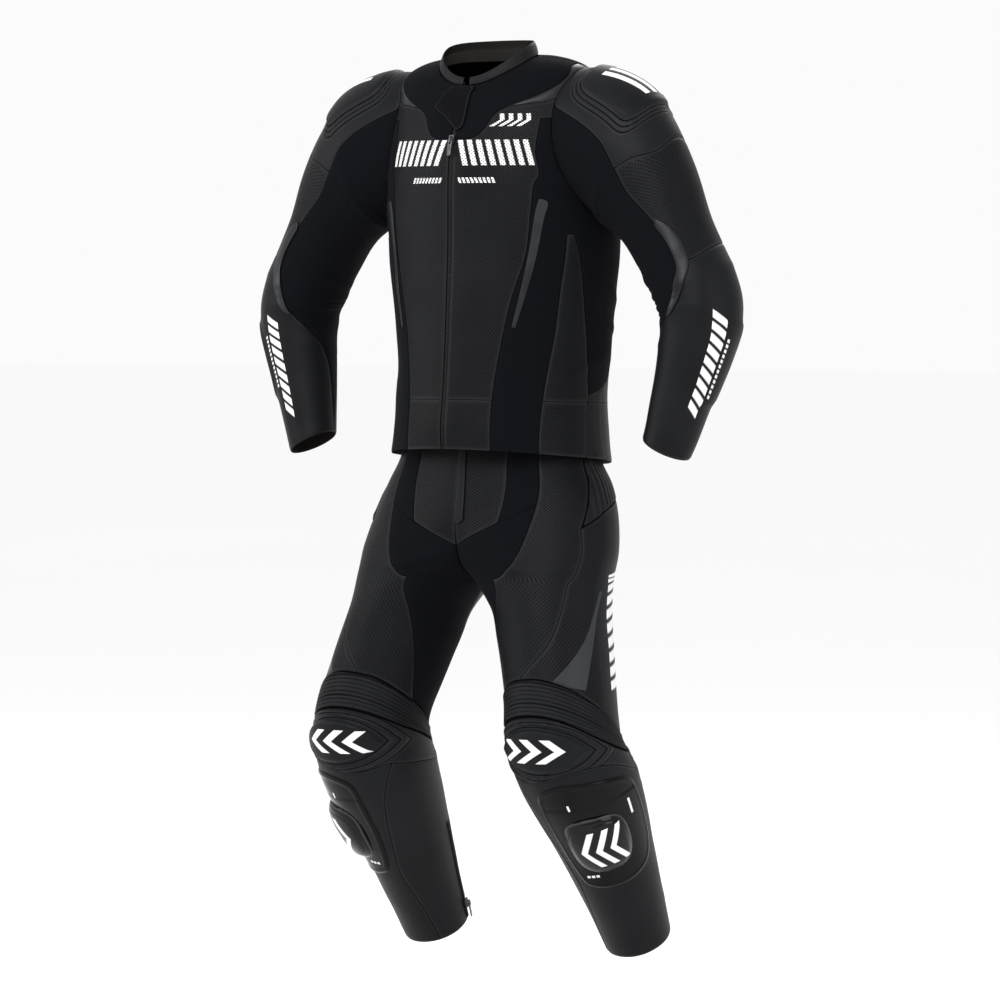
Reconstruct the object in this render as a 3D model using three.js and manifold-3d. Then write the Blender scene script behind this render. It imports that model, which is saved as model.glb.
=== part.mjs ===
// A two-piece motorcycle race suit, jacket over trousers, filled out as worn.
// Millimetres, +Z up, the wearer faces -Y and the wearer's left is +X. The origin is the base of the neck.
// Every panel is an outline drawn on one of four charts (torso, collar, sleeve, leg). A chart's first
// coordinate is a row number of its table of sections, the second an angle around the section in degrees.
import * as THREE from 'three';
import Module from 'manifold-3d';

const wasm = await Module();
wasm.setup();

// Driving dimensions
const leatherWall = 2.4;
const stretchWall = 1.8;
const satinWall = 1.0;
const zipWall = 1.6;
const seamGap = 0.3;
const trimGap = 0.3;
const overlayLift = 0.6;
const cellLength = 1.3;
const cellAngle = 15;
const rowPhase = 0.137;
const anglePhase = 7.5;

// Torso sections from the hem up to the neck seam. z is the section's height, frontRise and backRise lift
// its front and back.
const torsoRows = table('z halfWidth centreY frontDepth backDepth frontRise backRise', [
  [-582, 176.6, 61, 168, 121, 14, -16],
  [-548, 170, 63, 172, 119, 10, -10],
  [-495, 165, 66, 171, 116, 5, -4],
  [-441, 166, 69, 170, 114, 0, 0],
  [-387, 172, 69, 166, 114, 0, 0],
  [-332, 181, 67, 161, 114, 0, 0],
  [-278, 188, 67, 158, 114, 0, 0],
  [-228, 191, 65, 155, 115, 0, 0],
  [-185, 191, 63, 152, 117, 0, 0],
  [-145, 190, 60, 147, 118, 0, 0],
  [-105, 188, 57, 138, 116, 0, 0],
  [-70, 184, 54, 124, 110, 0, 0],
  [-40, 177, 51, 109, 101, 0, 0],
  [-13, 169, 47, 98, 90, -20, 0],
  [5, 153, 41, 89.5, 82, -34, 0],
  [16, 130, 33, 80, 76, -43, 0],
  [21, 104, 24, 70.5, 72, -47, 2],
  [21, 80, 14, 60, 68, -46, 4],
]);

const collarRows = table('z halfWidth centreY frontDepth backDepth frontRise backRise', [
  [21.5, 79.8, 14, 59.8, 67.8, -46, 4],
  [31, 77, 14, 59, 67, -49, 5],
  [41, 73, 13, 56, 64, -53, 6],
]);

// Left sleeve sections from the armhole to the cuff: tilt is how far the section's outer end is raised.
const sleeveRows = table('x y z tilt outerHalf frontHalf', [
  [172, 46, -107, 97, 116, 90],
  [214, 42, -117, 78, 112, 84],
  [248, 39, -150, 60, 98, 77],
  [279, 38, -193, 42, 81, 71],
  [304, 38, -236, 31, 68, 67],
  [331, 38, -284, 28, 63, 64],
  [352, 38, -320, 21, 62, 63],
  [364, 37, -352, 8, 62, 63],
  [365, 35, -384, -5, 59, 61],
  [358, 31, -420, -11, 54, 57],
  [348, 26, -460, -13, 49, 52],
  [337, 20, -502, -14, 44, 47],
  [328, 14, -540, -19, 40, 42],
  [321, 9, -565, -27, 38, 39],
]);

// Left half of the trousers from the waist to the ankle. A section is an ellipse about centreX, cut at the
// middle plane above the crotch; pitch tips the section's back up.
const legRows = table('z centreX halfWidth centreY frontDepth backDepth pitch', [
  [-505, 0, 150, 58, 112, 100, 0],
  [-545, 0, 156, 53, 112, 106, 0],
  [-586, 0, 167, 47, 113, 112, 0],
  [-622, 6, 181, 45, 116, 118, 0],
  [-657, 20, 181, 38, 113, 119, -1],
  [-690, 44, 166, 28, 107, 118, -2],
  [-722, 72, 143, 17, 101, 114, -3],
  [-750, 94, 120, 7, 97, 108, -4],
  [-768, 107, 107.2, 2, 95, 102, -5],
  [-812, 128, 89, -7, 94, 98, -8],
  [-862, 143, 86, -18, 93, 95, -12],
  [-912, 157, 84, -30, 91, 92, -14],
  [-955, 169, 83, -40, 90, 90, -12],
  [-990, 174, 84, -43, 92, 90, -4],
  [-1022, 178, 86, -32, 96, 91, 8],
  [-1057, 181, 85, -11, 95, 90, 18],
  [-1095, 183, 80, 15, 87, 86, 25],
  [-1139, 184, 73, 44, 77, 79, 29],
  [-1184, 184, 66, 72, 69, 71, 30],
  [-1229, 185, 60, 99, 62, 63, 31],
  [-1273, 185, 55, 125, 56, 57, 31],
  [-1310, 185, 51, 146, 51, 52, 31],
]);

// The armhole is an ellipse on the torso chart. Seams reach it at these angles around the sleeve.
const armhole = { lowRow: 7, highRow: 14, halfAngle: 40, step: 15, topStep: 7.5, topReach: 70 };
const armholeMeets = { shoulder: -10, accent: 68, sleeveFront: 74, chest: 84, sleeveBack: 210, back: 231 };
const cuff = { row: 13, seamAngle: 192.5 };
// The sleeve's surface leaves the armhole over blendRows, and its wall turns to its own way over wallRows.
const sleeveHold = { blendRows: 1.6, wallRows: 0.8, firstRow: 0.3 };
// Above the crotch a leg's wall is taken just beside the middle plane, where its section is cut.
const legMiddle = { lastRow: 8, lowAngle: 1, highAngle: 179 };

// Soft folds of the cloth: each is a ridge along the angle direction, slanted by slant rows a degree.
const foldNames = 'row angle rowReach angleReach slant height';
const torsoFoldAxisY = 60;
const sleeveFoldMiddle = 150;
const legFoldMiddle = { thigh: 90, knee: 135, kneeRow: 11 };
const torsoFolds = table(foldNames, [
  [2.2, 64, 0.5, 22, 0.012, 2.5],
  [3.4, 100, 0.5, 26, -0.010, 3],
  [4.6, 150, 0.6, 34, 0.006, 3],
  [7.6, 52, 0.5, 14, -0.03, 3],
]);
const sleeveFolds = table(foldNames, [
  [1.9, 128, 0.30, 40, 0.004, 4],
  [5.3, 150, 0.32, 60, 0.003, 5],
  [6.1, 160, 0.30, 70, 0.000, 6],
  [6.9, 155, 0.32, 60, -0.003, 5],
  [8.0, 175, 0.35, 45, 0.002, 3],
]);
const legFolds = table(foldNames, [
  [6.6, 20, 0.28, 16, 0.030, 4],
  [8.6, 12, 0.30, 18, 0.020, 4],
  [9.4, 150, 0.40, 30, 0.010, 4],
  [13.0, 135, 0.28, 30, 0.004, 6],
  [14.0, 137, 0.26, 32, 0.000, 7],
  [15.0, 135, 0.28, 30, -0.004, 6],
  [18.6, 150, 0.40, 30, 0.010, 3],
]);

function table(names, lines) {
  const keys = names.split(' ');
  return lines.map((line) => Object.fromEntries(line.map((value, k) => [keys[k], value])));
}

const rad = (degrees) => (degrees * Math.PI) / 180;
const clamp = (value, low, high) => Math.min(high, Math.max(low, value));
const smooth = (t) => t * t * (3 - 2 * t);

// One value of a table, carried smoothly between its rows.
function across(rows, position) {
  const last = rows.length - 1;
  const place = clamp(position, 0, last);
  const i = Math.min(Math.floor(place), last - 1);
  const t = place - i;
  const out = {};
  for (const key of Object.keys(rows[0])) {
    const b = rows[i][key];
    const c = rows[i + 1][key];
    const a = i > 0 ? rows[i - 1][key] : 2 * b - c;
    const d = i < last - 1 ? rows[i + 2][key] : 2 * c - b;
    out[key] = 0.5 * (2 * b + (c - a) * t + (2 * a - 5 * b + 4 * c - d) * t * t
      + (3 * b - a - 3 * c + d) * t * t * t);
  }
  return out;
}

function torsoPoint(rows, row, angle) {
  const r = across(rows, row);
  const c = Math.cos(rad(angle));
  const depth = c > 0 ? r.frontDepth : r.backDepth;
  const rise = r.frontRise * ((1 + c) / 2) ** 3 + r.backRise * ((1 - c) / 2) ** 2;
  return new THREE.Vector3(r.halfWidth * Math.sin(rad(angle)), r.centreY - depth * c, r.z + rise);
}

// How far the folds of one chart lift its surface.
function foldHeight(folds, row, angle) {
  return folds.reduce((total, fold) => {
    const sideways = (angle - fold.angle) / fold.angleReach;
    const lengthways = (row - fold.row - fold.slant * (angle - fold.angle)) / fold.rowReach;
    return total + fold.height * Math.exp(-sideways * sideways - lengthways * lengthways);
  }, 0);
}

// Keeps an angle within half a turn of a whole section either side of a middle.
const near = (angle, middle, whole) => angle - whole * Math.round((angle - middle) / whole);

const onTorso = (row, angle) => {
  const point = torsoPoint(torsoRows, row, angle);
  const lift = foldHeight(torsoFolds, row, Math.abs(near(angle, 0, 360)));
  const away = new THREE.Vector3(point.x, point.y - torsoFoldAxisY, 0).normalize();
  return point.addScaledVector(away, lift);
};
const onCollar = (row, angle) => torsoPoint(collarRows, row, angle);

// The armhole's chart position at an angle around the sleeve: 0 top, 90 front, 180 under, 270 back.
function armholeSpot(around) {
  const middle = (armhole.lowRow + armhole.highRow) / 2;
  const reach = (armhole.highRow - armhole.lowRow) / 2;
  return [middle + reach * Math.cos(rad(around)), 90 - armhole.halfAngle * Math.sin(rad(around))];
}

function onSleeve(row, around) {
  const r = across(sleeveRows, row);
  const outward = r.outerHalf * Math.cos(rad(around));
  const free = new THREE.Vector3(
    r.x + outward * Math.cos(rad(r.tilt)),
    r.y - r.frontHalf * Math.sin(rad(around)),
    r.z + outward * Math.sin(rad(r.tilt)),
  );
  const away = free.clone().sub(new THREE.Vector3(r.x, r.y, r.z)).normalize();
  free.addScaledVector(away, foldHeight(sleeveFolds, row, near(around, sleeveFoldMiddle, 360)));
  const hold = smooth(clamp(1 - row / sleeveHold.blendRows, 0, 1));
  return free.lerp(onTorso(...armholeSpot(around)), hold);
}

function onLeg(row, angle) {
  const r = across(legRows, row);
  const sweep = Math.acos(clamp(-r.centreX / r.halfWidth, -1, 1));
  const turn = ((angle - 90) / 90) * sweep;
  const depth = Math.sin(turn) < 0 ? r.frontDepth : r.backDepth;
  const foldMiddle = row > legFoldMiddle.kneeRow ? legFoldMiddle.knee : legFoldMiddle.thigh;
  const lift = foldHeight(legFolds, row, near(angle, foldMiddle, 180));
  const along = (depth + lift) * Math.sin(turn);
  return new THREE.Vector3(
    Math.max(0, r.centreX + r.halfWidth * Math.cos(turn)),
    r.centreY + along * Math.cos(rad(r.pitch)),
    r.z + along * Math.sin(rad(r.pitch)),
  );
}

// Outward direction on a chart. turn is 1 where angle then row is right-handed seen from outside.
function outwardAt(chart, row, angle) {
  const step = 0.02;
  const du = chart.at(row, angle + step).sub(chart.at(row, angle - step));
  const low = Math.max(chart.firstRow, row - step);
  const high = Math.min(chart.lastRow, row + step);
  const dv = chart.at(high, angle).sub(chart.at(low, angle));
  return du.cross(dv).normalize().multiplyScalar(chart.turn);
}

const torso = { at: onTorso, turn: 1, firstRow: 0, lastRow: 17 };
const collar = { at: onCollar, turn: 1, firstRow: 0, lastRow: 2 };
const sleeve = { at: onSleeve, turn: 1, firstRow: 0, lastRow: 13 };
const leg = { at: onLeg, turn: -1, firstRow: 0, lastRow: 21 };
torso.outward = (row, angle) => outwardAt(torso, row, angle);
collar.outward = (row, angle) => outwardAt(collar, row, angle);
leg.outward = (row, angle) => outwardAt(leg, row, (
  row < legMiddle.lastRow ? clamp(angle, legMiddle.lowAngle, legMiddle.highAngle) : angle
));
// At the armhole the sleeve's wall follows the torso's, so that the two walls meet edge to edge.
sleeve.outward = (row, angle) => {
  const own = outwardAt(sleeve, Math.max(row, sleeveHold.firstRow), angle);
  const hold = smooth(clamp(1 - row / sleeveHold.wallRows, 0, 1));
  return own.lerp(torso.outward(...armholeSpot(angle)), hold).normalize();
};

// Seam lines on the charts, as [row, angle] points in order. Neighbouring panels share them.
const seams = {
  zipLow: [[0, 2], [9.95, 2]],
  zipHigh: [[9.95, 2], [17, 3]],
  yokeEdge: [[9.95, 2], [10.15, 13], [11.05, 20], [11.35, 25]],
  yokeAccentTop: [[11.35, 25], [12.0, 42], [12.9, 56], [13.8, 70], [14.45, 82], [14.6, 97]],
  yokeAccentLow: [[11.35, 25], [11.5, 35], [11.6, 45], armholeSpot(armholeMeets.accent)],
  yokeBack: [[14.6, 97], [13.7, 112], [13.0, 126], [12.6, 145], [12.5, 180]],
  chestEdge: [[0, 25], [2, 27], [3.6, 30], [4.8, 33], [6, 38], [7.2, 39.5], [8.2, 41], [8.7, 44], [9.5, 42],
    [10.82, 44]],
  chestTop: [[10.82, 44], armholeSpot(armholeMeets.chest)],
  insertFront: [[0, 49], [0.55, 50], [1.96, 53], [3.66, 57], [5.28, 57.5], [6.6, 58.5]],
  insertTop: [[6.6, 58.5], [6.6, 62.5]],
  insertBack: [[6.6, 62.5], [6, 66], [5.03, 71], [3.66, 77], [2.13, 81]],
  insertHip: [[2.13, 81], [0.9, 79], [0, 76]],
  hipTop: [[2.13, 81], [2.68, 114]],
  sideBack: [[2.68, 114], [5, 115], [7, 118], armholeSpot(armholeMeets.back)],
  sideAccentFront: [[4.0, 34.2], [5.5, 38], [7.2, 41.5], [7.75, 43.5]],
  sideAccentBack: [[4.0, 36.5], [5.5, 42], [7.0, 46], [7.6, 48], [7.75, 45]],
  throatFlap: [[10.3, 1.5], [10.6, 5], [12.1, 5.5], [15.5, 7], [15.9, 0], [15.2, -9], [12.1, -11],
    [11.4, -14], [10.9, -6]],
  sleeveBackHigh: [[0, 210], [2.45, 221]],
  sleeveBackMid: [[2.45, 221], [4, 226], [5.2, 227]],
  sleeveBackLow: [[5.2, 227], [7, 226], [9, 218], [11, 203], [12.3, cuff.seamAngle]],
  shoulderEnd: [[2.45, -139], [2.5, -60], [2.54, 4], [2.61, 40], [2.35, 70], [2.2, 86]],
  sleeveFrontHigh: [[0, 74], [1, 77], [2.2, 86]],
  sleeveFrontMid: [[2.2, 86], [3.0, 88], [3.9, 78], [4.8, 68], [5.4, 70]],
  sleeveFrontLow: [[5.4, 70], [6.1, 84], [7.0, 103], [7.9, 126], [9.3, 165], [10.3, 180],
    [12.3, cuff.seamAngle]],
  elbow: [[5.2, -133], [5.05, -60], [5.12, -18], [5.3, 20], [5.45, 50], [5.4, 70]],
  elbowAccentOuter: [[4.0, 72], [4.35, 60], [4.8, 53], [5.5, 56], [6.1, 72], [7.0, 94], [7.5, 108]],
  elbowAccentInner: [[7.5, 115], [7.0, 105], [6.1, 88], [5.5, 74], [4.8, 71], [4.2, 76]],
  riseEdge: [[0, 30], [1.6, 29], [4.7, 22.5]],
  riseEnd: [[4.7, 22.5], [5.85, 0]],
  thighInner: [[0, 48], [1.6, 47], [3.2, 43], [5, 38], [7.1, 36], [8.3, 36], [9.2, 26], [10.4, 16],
    [11.95, 6]],
  thighSeam: [[4.9, 66], [6.5, 70], [8.34, 70], [10.03, 60], [11.33, 40]],
  thighBack: [[3.6, 114], [6, 118], [8, 122], [10, 116], [12, 106], [12.8, 104]],
  hipFront: [[0, 82], [1.75, 80], [4.9, 66]],
  hipEnd: [[4.9, 66], [4.35, 80], [4.03, 89], [3.6, 114]],
  hipBack: [[0, 114], [3.6, 114]],
  seatInner: [[8, 180], [9, 166], [10.5, 159], [12, 160], [12.9, 163]],
  kneeTopInner: [[12.9, -17], [12.3, -5], [11.95, 6]],
  kneeTop: [[11.95, 6], [11.45, 28], [11.33, 40]],
  kneeTopOuter: [[11.33, 40], [11.3, 52], [11.5, 68], [12.1, 88], [12.8, 104]],
  kneeMid: [[14.0, -17], [13.4, -5], [13.05, 8], [12.65, 28], [12.5, 50], [12.75, 68], [13.4, 88],
    [14.0, 104]],
  kneeLowInner: [[15.0, -17], [14.6, 0], [14.3, 18]],
  kneeLow: [[14.3, 18], [14.45, 40], [14.15, 65], [14.2, 85], [14.9, 104]],
  kneeBack: [[12.8, 104], [14.0, 104]],
  kneeBackLow: [[14.0, 104], [14.9, 104]],
  kneeInner: [[12.9, 163], [14.0, 163]],
  kneeInnerLow: [[14.0, 163], [15.0, 163]],
  calfTop: [[12.8, 104], [12.6, 120], [12.6, 145], [12.9, 163]],
  shinInner: [[14.3, 18], [15.5, 27], [17.2, 34], [18.2, 36], [19.6, 30], [21, 26]],
  shinOuter: [[14.9, 104], [17, 112], [19, 112], [21, 108]],
  sliderBase: [[14.75, 41], [14.55, 62], [14.65, 84], [15.4, 95], [17.0, 96], [17.8, 92], [18.15, 62],
    [18.0, 42], [16.8, 38], [15.6, 39]],
};
const seamStep = 1.1;
const fineSeamStep = 0.4;
const fineSeams = ['kneeTopInner', 'kneeTop', 'kneeTopOuter', 'kneeMid', 'kneeLow', 'kneeLowInner',
  'kneeInnerLow', 'hipEnd', 'hipFront', 'sleeveBackHigh', 'sleeveFrontHigh'];
const degreesPerRow = 14;

// A seam's points, rounded between its own ones. shift turns them around the section by whole degrees.
function seam(name, shift = 0) {
  const rows = seams[name].map(([row, angle]) => ({ row, angle }));
  const reach = rows.slice(1).reduce((total, spot, k) => (
    total + Math.hypot(spot.row - rows[k].row, (spot.angle - rows[k].angle) / degreesPerRow)
  ), 0);
  const spans = rows.length - 1;
  const step = fineSeams.includes(name) ? fineSeamStep : seamStep;
  const count = spans === 1 && step === seamStep ? 1 : Math.max(spans, Math.round(reach / step));
  return Array.from({ length: count + 1 }, (_, k) => {
    const spot = across(rows, (k * spans) / count);
    return [spot.row, spot.angle + shift];
  });
}

const back = (points) => [...points].reverse();
const turned = (points) => points.map(([row, angle]) => [row, -angle]);

const sameSpot = { row: 0.004, angle: 0.1, cell: 0.002 };

const gridLines = (low, high, step, phase) => {
  const first = Math.floor((low - phase) / step);
  const count = Math.ceil((high - phase) / step) - first + 1;
  return Array.from({ length: count }, (_, k) => (first + k) * step + phase);
};

// Angles around the sleeve where both sides of the armhole seam have a point, between two of them.
function armholeAngles(from, to) {
  const low = Math.min(from, to);
  const high = Math.max(from, to);
  const even = gridLines(low, high, armhole.step, anglePhase);
  const top = gridLines(-armhole.topReach, armhole.topReach, armhole.topStep, 0);
  const fine = [...top, ...top.map((angle) => angle + 360)];
  const corners = Object.values(armholeMeets).flatMap((angle) => [angle - 360, angle, angle + 360]);
  const inner = [...even, ...fine, ...corners].filter((around) => (
    around > low + sameSpot.angle && around < high - sameSpot.angle
  ));
  const angles = [...new Set([low, ...inner, high])].sort((p, q) => p - q);
  return from < to ? angles : angles.reverse();
}

const armholeArc = (from, to) => armholeAngles(from, to).map(armholeSpot);
const sleeveHead = (from, to) => armholeAngles(from, to).map((around) => [0, around]);

// A panel's outline on its chart, from seams joined end to end.
function outline(...stretches) {
  const points = stretches.flat();
  return points.filter(([row, angle], k) => {
    const [otherRow, otherAngle] = points[(k + points.length - 1) % points.length];
    return Math.hypot(row - otherRow, (angle - otherAngle) / 10) > sameSpot.row;
  });
}

// Splits an outline along the chart's grid lines into small flat pieces, as triangles of chart spots.
function cutIntoCells(points, rowStep, angleStep) {
  const scale = 10;
  const flat = points.map(([row, angle]) => [row * scale, angle]);
  const region = new wasm.CrossSection([flat], 'EvenOdd');
  const reach = (axis) => {
    const values = points.map((point) => point[axis]);
    return [Math.min(...values), Math.max(...values)];
  };
  const rows = gridLines(...reach(0), rowStep, rowPhase);
  const angles = gridLines(...reach(1), angleStep, anglePhase);
  const spots = [];
  const lookup = new Map();
  const spotIndex = (x, y) => {
    const key = `${Math.round(x / sameSpot.cell)},${Math.round(y / sameSpot.cell)}`;
    if (!lookup.has(key)) {
      lookup.set(key, spots.length);
      spots.push([x / scale, y]);
    }
    return lookup.get(key);
  };
  const triangles = [];
  for (let i = 0; i + 1 < rows.length; i += 1) {
    for (let j = 0; j + 1 < angles.length; j += 1) {
      const square = wasm.CrossSection.square([rowStep * scale, angleStep])
        .translate([rows[i] * scale, angles[j]]);
      for (const contour of region.intersect(square).toPolygons()) {
        const corners = contour.map(([x, y]) => new THREE.Vector2(x, y));
        for (const face of THREE.ShapeUtils.triangulateShape(corners, [])) {
          const [a, b, c] = face.map((k) => spotIndex(corners[k].x, corners[k].y));
          if (a !== b && b !== c && c !== a) triangles.push([a, b, c]);
        }
      }
    }
  }
  return { spots, triangles };
}

// The open edges of a set of triangles, each once and in the triangles' own direction.
function openEdges(triangles) {
  const edges = new Map();
  for (const [a, b, c] of triangles) {
    for (const [from, to] of [[a, b], [b, c], [c, a]]) {
      if (edges.has(`${to},${from}`)) edges.delete(`${to},${from}`);
      else edges.set(`${from},${to}`, [from, to]);
    }
  }
  return [...edges.values()];
}

// Moves every edge point half a seam's gap into its own panel, along the panel's surface.
function drawBack(spots, outwards, edges, amount) {
  const push = new Map();
  for (const [from, to] of edges) {
    const along = spots[to].clone().sub(spots[from]).normalize();
    for (const k of [from, to]) {
      const inward = outwards[k].clone().cross(along).normalize();
      push.set(k, [...(push.get(k) ?? []), inward]);
    }
  }
  for (const [k, sides] of push) {
    const sum = sides.reduce((total, side) => total.add(side), new THREE.Vector3()).normalize();
    const reach = amount / Math.max(0.5, sum.dot(sides[0]));
    spots[k].addScaledVector(sum, reach);
  }
}

// A closed wall over an outline. A panel's wall goes inwards from the chart, and what lies on a panel goes
// outwards from lift; relief raises the outer face.
function sheetGeometry(chart, points, options) {
  const { lift = 0, wall, relief, rowStep = cellLength, angleStep = cellAngle } = options;
  const cells = cutIntoCells(points, rowStep, angleStep);
  const base = cells.spots.map(([row, angle]) => chart.at(row, angle));
  const outwards = cells.spots.map(([row, angle]) => chart.outward(row, angle));
  const facing = cells.triangles.reduce((total, [p, q, r]) => (
    total + base[q].clone().sub(base[p]).cross(base[r].clone().sub(base[p])).dot(outwards[p])
  ), 0);
  const triangles = facing > 0 ? cells.triangles : cells.triangles.map(([p, q, r]) => [p, r, q]);
  const edges = openEdges(triangles);
  drawBack(base, outwards, edges, seamGap / 2);
  const top = base.map((point, k) => {
    const raised = relief ? relief(...cells.spots[k]) : 0;
    return point.clone().addScaledVector(outwards[k], (lift > 0 ? lift + wall : 0) + raised);
  });
  const low = lift > 0 ? lift : -wall;
  const under = base.map((point, k) => point.clone().addScaledVector(outwards[k], low));
  const count = base.length;
  const faces = [
    ...triangles,
    ...triangles.map(([p, q, r]) => [p + count, r + count, q + count]),
    ...edges.flatMap(([p, q]) => [[p, p + count, q + count], [p, q + count, q]]),
  ];
  const geometry = new THREE.BufferGeometry();
  const numbers = [...top, ...under].flatMap((point) => point.toArray());
  geometry.setAttribute('position', new THREE.Float32BufferAttribute(numbers, 3));
  geometry.setIndex(faces.flat());
  return geometry;
}

function solid(geometry) {
  const bare = geometry.index ? geometry.toNonIndexed() : geometry;
  const position = bare.getAttribute('position');
  const vertProperties = Float32Array.from(position.array);
  const mesh = new wasm.Mesh({
    numProp: 3, vertProperties, triVerts: Uint32Array.from({ length: position.count }, (_, k) => k),
  });
  mesh.merge();
  return new wasm.Manifold(mesh);
}

function shape(manifold) {
  const mesh = manifold.getMesh();
  const geometry = new THREE.BufferGeometry();
  geometry.setAttribute('position', new THREE.BufferAttribute(Float32Array.from(mesh.vertProperties), 3));
  geometry.setIndex([...mesh.triVerts]);
  return geometry;
}

function mirrored(geometry) {
  const copy = geometry.clone();
  const position = copy.getAttribute('position');
  for (let k = 0; k < position.count; k += 1) position.setX(k, -position.getX(k));
  const index = copy.getIndex().array;
  for (let k = 0; k < index.length; k += 3) [index[k + 1], index[k + 2]] = [index[k + 2], index[k + 1]];
  return copy;
}

// Finishes
const finish = (color, roughness, metalness = 0) => (
  new THREE.MeshStandardMaterial({ color, roughness, metalness })
);
const leather = finish(0x222326, 0.5);
const stretch = finish(0x121318, 0.9);
const satin = finish(0x4a4b50, 0.35);
const collarLeather = finish(0x2a2a2d, 0.5);
const gloss = finish(0x0c0c0e, 0.15);
const zipTape = finish(0x17181b, 0.6);
const metal = finish(0x2c2d30, 0.35, 0.8);

const group = new THREE.Group();

function add(name, geometry, material) {
  const mesh = new THREE.Mesh(geometry, material);
  mesh.name = name;
  group.add(mesh);
}

// Adds a left panel and its mirrored right one.
function addPair(name, chart, points, material, options) {
  const geometry = sheetGeometry(chart, points, options);
  add(`${name}_left`, geometry, material);
  add(`${name}_right`, mirrored(geometry), material);
}

// Jacket
const leatherSheet = { wall: leatherWall };
const stretchSheet = { wall: stretchWall };
const meets = armholeMeets;
const throatCells = { rowStep: 0.65 };
const neckCorner = [17, 97];
const collarEdge = [[0, 4], [0, 356], [2, 356], [2, 4]];
const collarCells = { rowStep: 3 };
const throatLift = 0.9;
const elbowLift = 1.4;
const flyLift = 0.9;

addPair('jacket_chest', torso, outline(
  seam('chestEdge'), seam('chestTop'), armholeArc(meets.chest, meets.accent), back(seam('yokeAccentLow')),
  back(seam('yokeEdge')), back(seam('zipLow')),
), leather, leatherSheet);
addPair('jacket_yoke', torso, outline(
  seam('yokeEdge'), seam('yokeAccentTop'), [neckCorner], back(seam('zipHigh')),
), stretch, { ...stretchSheet, ...throatCells });
addPair('jacket_yoke_accent', torso, outline(
  seam('yokeAccentLow'), armholeArc(meets.accent, meets.shoulder), back(seam('yokeAccentTop')),
), satin, { ...leatherSheet, ...throatCells });
addPair('jacket_side_stretch', torso, outline(
  seam('chestEdge'), seam('chestTop'), armholeArc(meets.chest, meets.back), back(seam('sideBack')),
  back(seam('hipTop')), back(seam('insertBack')), back(seam('insertTop')), back(seam('insertFront')),
), stretch, stretchSheet);
addPair('jacket_side_insert', torso, outline(
  seam('insertFront'), seam('insertTop'), seam('insertBack'), seam('insertHip'),
), leather, leatherSheet);
addPair('jacket_side_accent', torso, outline(
  seam('sideAccentFront'), back(seam('sideAccentBack')),
), satin, { lift: overlayLift, wall: satinWall });

const halfBack = outline(
  back(seam('insertHip')), seam('hipTop'), seam('sideBack'), armholeArc(meets.back, 360 + meets.shoulder),
  seam('yokeBack'),
);
const acrossBack = (points) => back(points).map(([row, angle]) => [row, 360 - angle]);
add('jacket_back', sheetGeometry(torso, outline(halfBack, acrossBack(halfBack)), leatherSheet), leather);
add('jacket_back_yoke', sheetGeometry(torso, outline(
  seam('yokeBack'), acrossBack(seam('yokeBack')), acrossBack([neckCorner]), [neckCorner],
), { ...stretchSheet, ...throatCells }), stretch);
add('jacket_collar', sheetGeometry(collar, collarEdge, { ...leatherSheet, ...collarCells }), collarLeather);
add('jacket_throat_flap', sheetGeometry(torso, outline(seam('throatFlap')), {
  lift: throatLift, wall: leatherWall, ...throatCells,
}), leather);
add('jacket_front_zip', sheetGeometry(torso, outline(
  seam('zipLow'), seam('zipHigh'), back(turned(seam('zipHigh'))), back(turned(seam('zipLow'))),
), { wall: zipWall, ...throatCells }), zipTape);

// Sleeves
const sleeveCells = { rowStep: 0.85, angleStep: 30 };
const plateau = ({ row, angle, rowHalf, angleHalf, height, edge }) => (r, a) => {
  const far = (Math.abs((r - row) / rowHalf) ** 3 + Math.abs((a - angle) / angleHalf) ** 3) ** (1 / 3);
  return height * smooth(clamp((1 - far) / edge, 0, 1));
};
const shoulderCup = plateau({ row: 1.3, angle: 12, rowHalf: 0.62, angleHalf: 44, height: 6, edge: 0.3 });
const forearmPad = plateau({ row: 9.2, angle: 2, rowHalf: 1.6, angleHalf: 50, height: 3, edge: 0.2 });

addPair('sleeve_shoulder', sleeve, outline(
  seam('sleeveBackHigh', -360), seam('shoulderEnd'), back(seam('sleeveFrontHigh')),
  sleeveHead(meets.sleeveFront, meets.sleeveBack - 360),
), leather, { ...leatherSheet, ...sleeveCells, relief: shoulderCup });
addPair('sleeve_upper', sleeve, outline(
  seam('shoulderEnd'), seam('sleeveFrontMid'), back(seam('elbow')), back(seam('sleeveBackMid', -360)),
), leather, { ...leatherSheet, ...sleeveCells });
addPair('sleeve_inner_stretch', sleeve, outline(
  seam('sleeveFrontHigh'), seam('sleeveFrontMid'), seam('sleeveFrontLow'), back(seam('sleeveBackLow')),
  back(seam('sleeveBackMid')), back(seam('sleeveBackHigh')),
  sleeveHead(meets.sleeveBack, meets.sleeveFront),
), stretch, { ...stretchSheet, ...sleeveCells });
addPair('sleeve_forearm', sleeve, outline(
  seam('elbow'), seam('sleeveFrontLow'), [[cuff.row, cuff.seamAngle], [cuff.row, cuff.seamAngle - 360]],
  back(seam('sleeveBackLow', -360)),
), leather, { ...leatherSheet, ...sleeveCells, relief: forearmPad });
addPair('sleeve_elbow_accent', sleeve, outline(
  seam('elbowAccentOuter'), seam('elbowAccentInner'),
), satin, { lift: elbowLift, wall: satinWall, ...sleeveCells });

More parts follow.
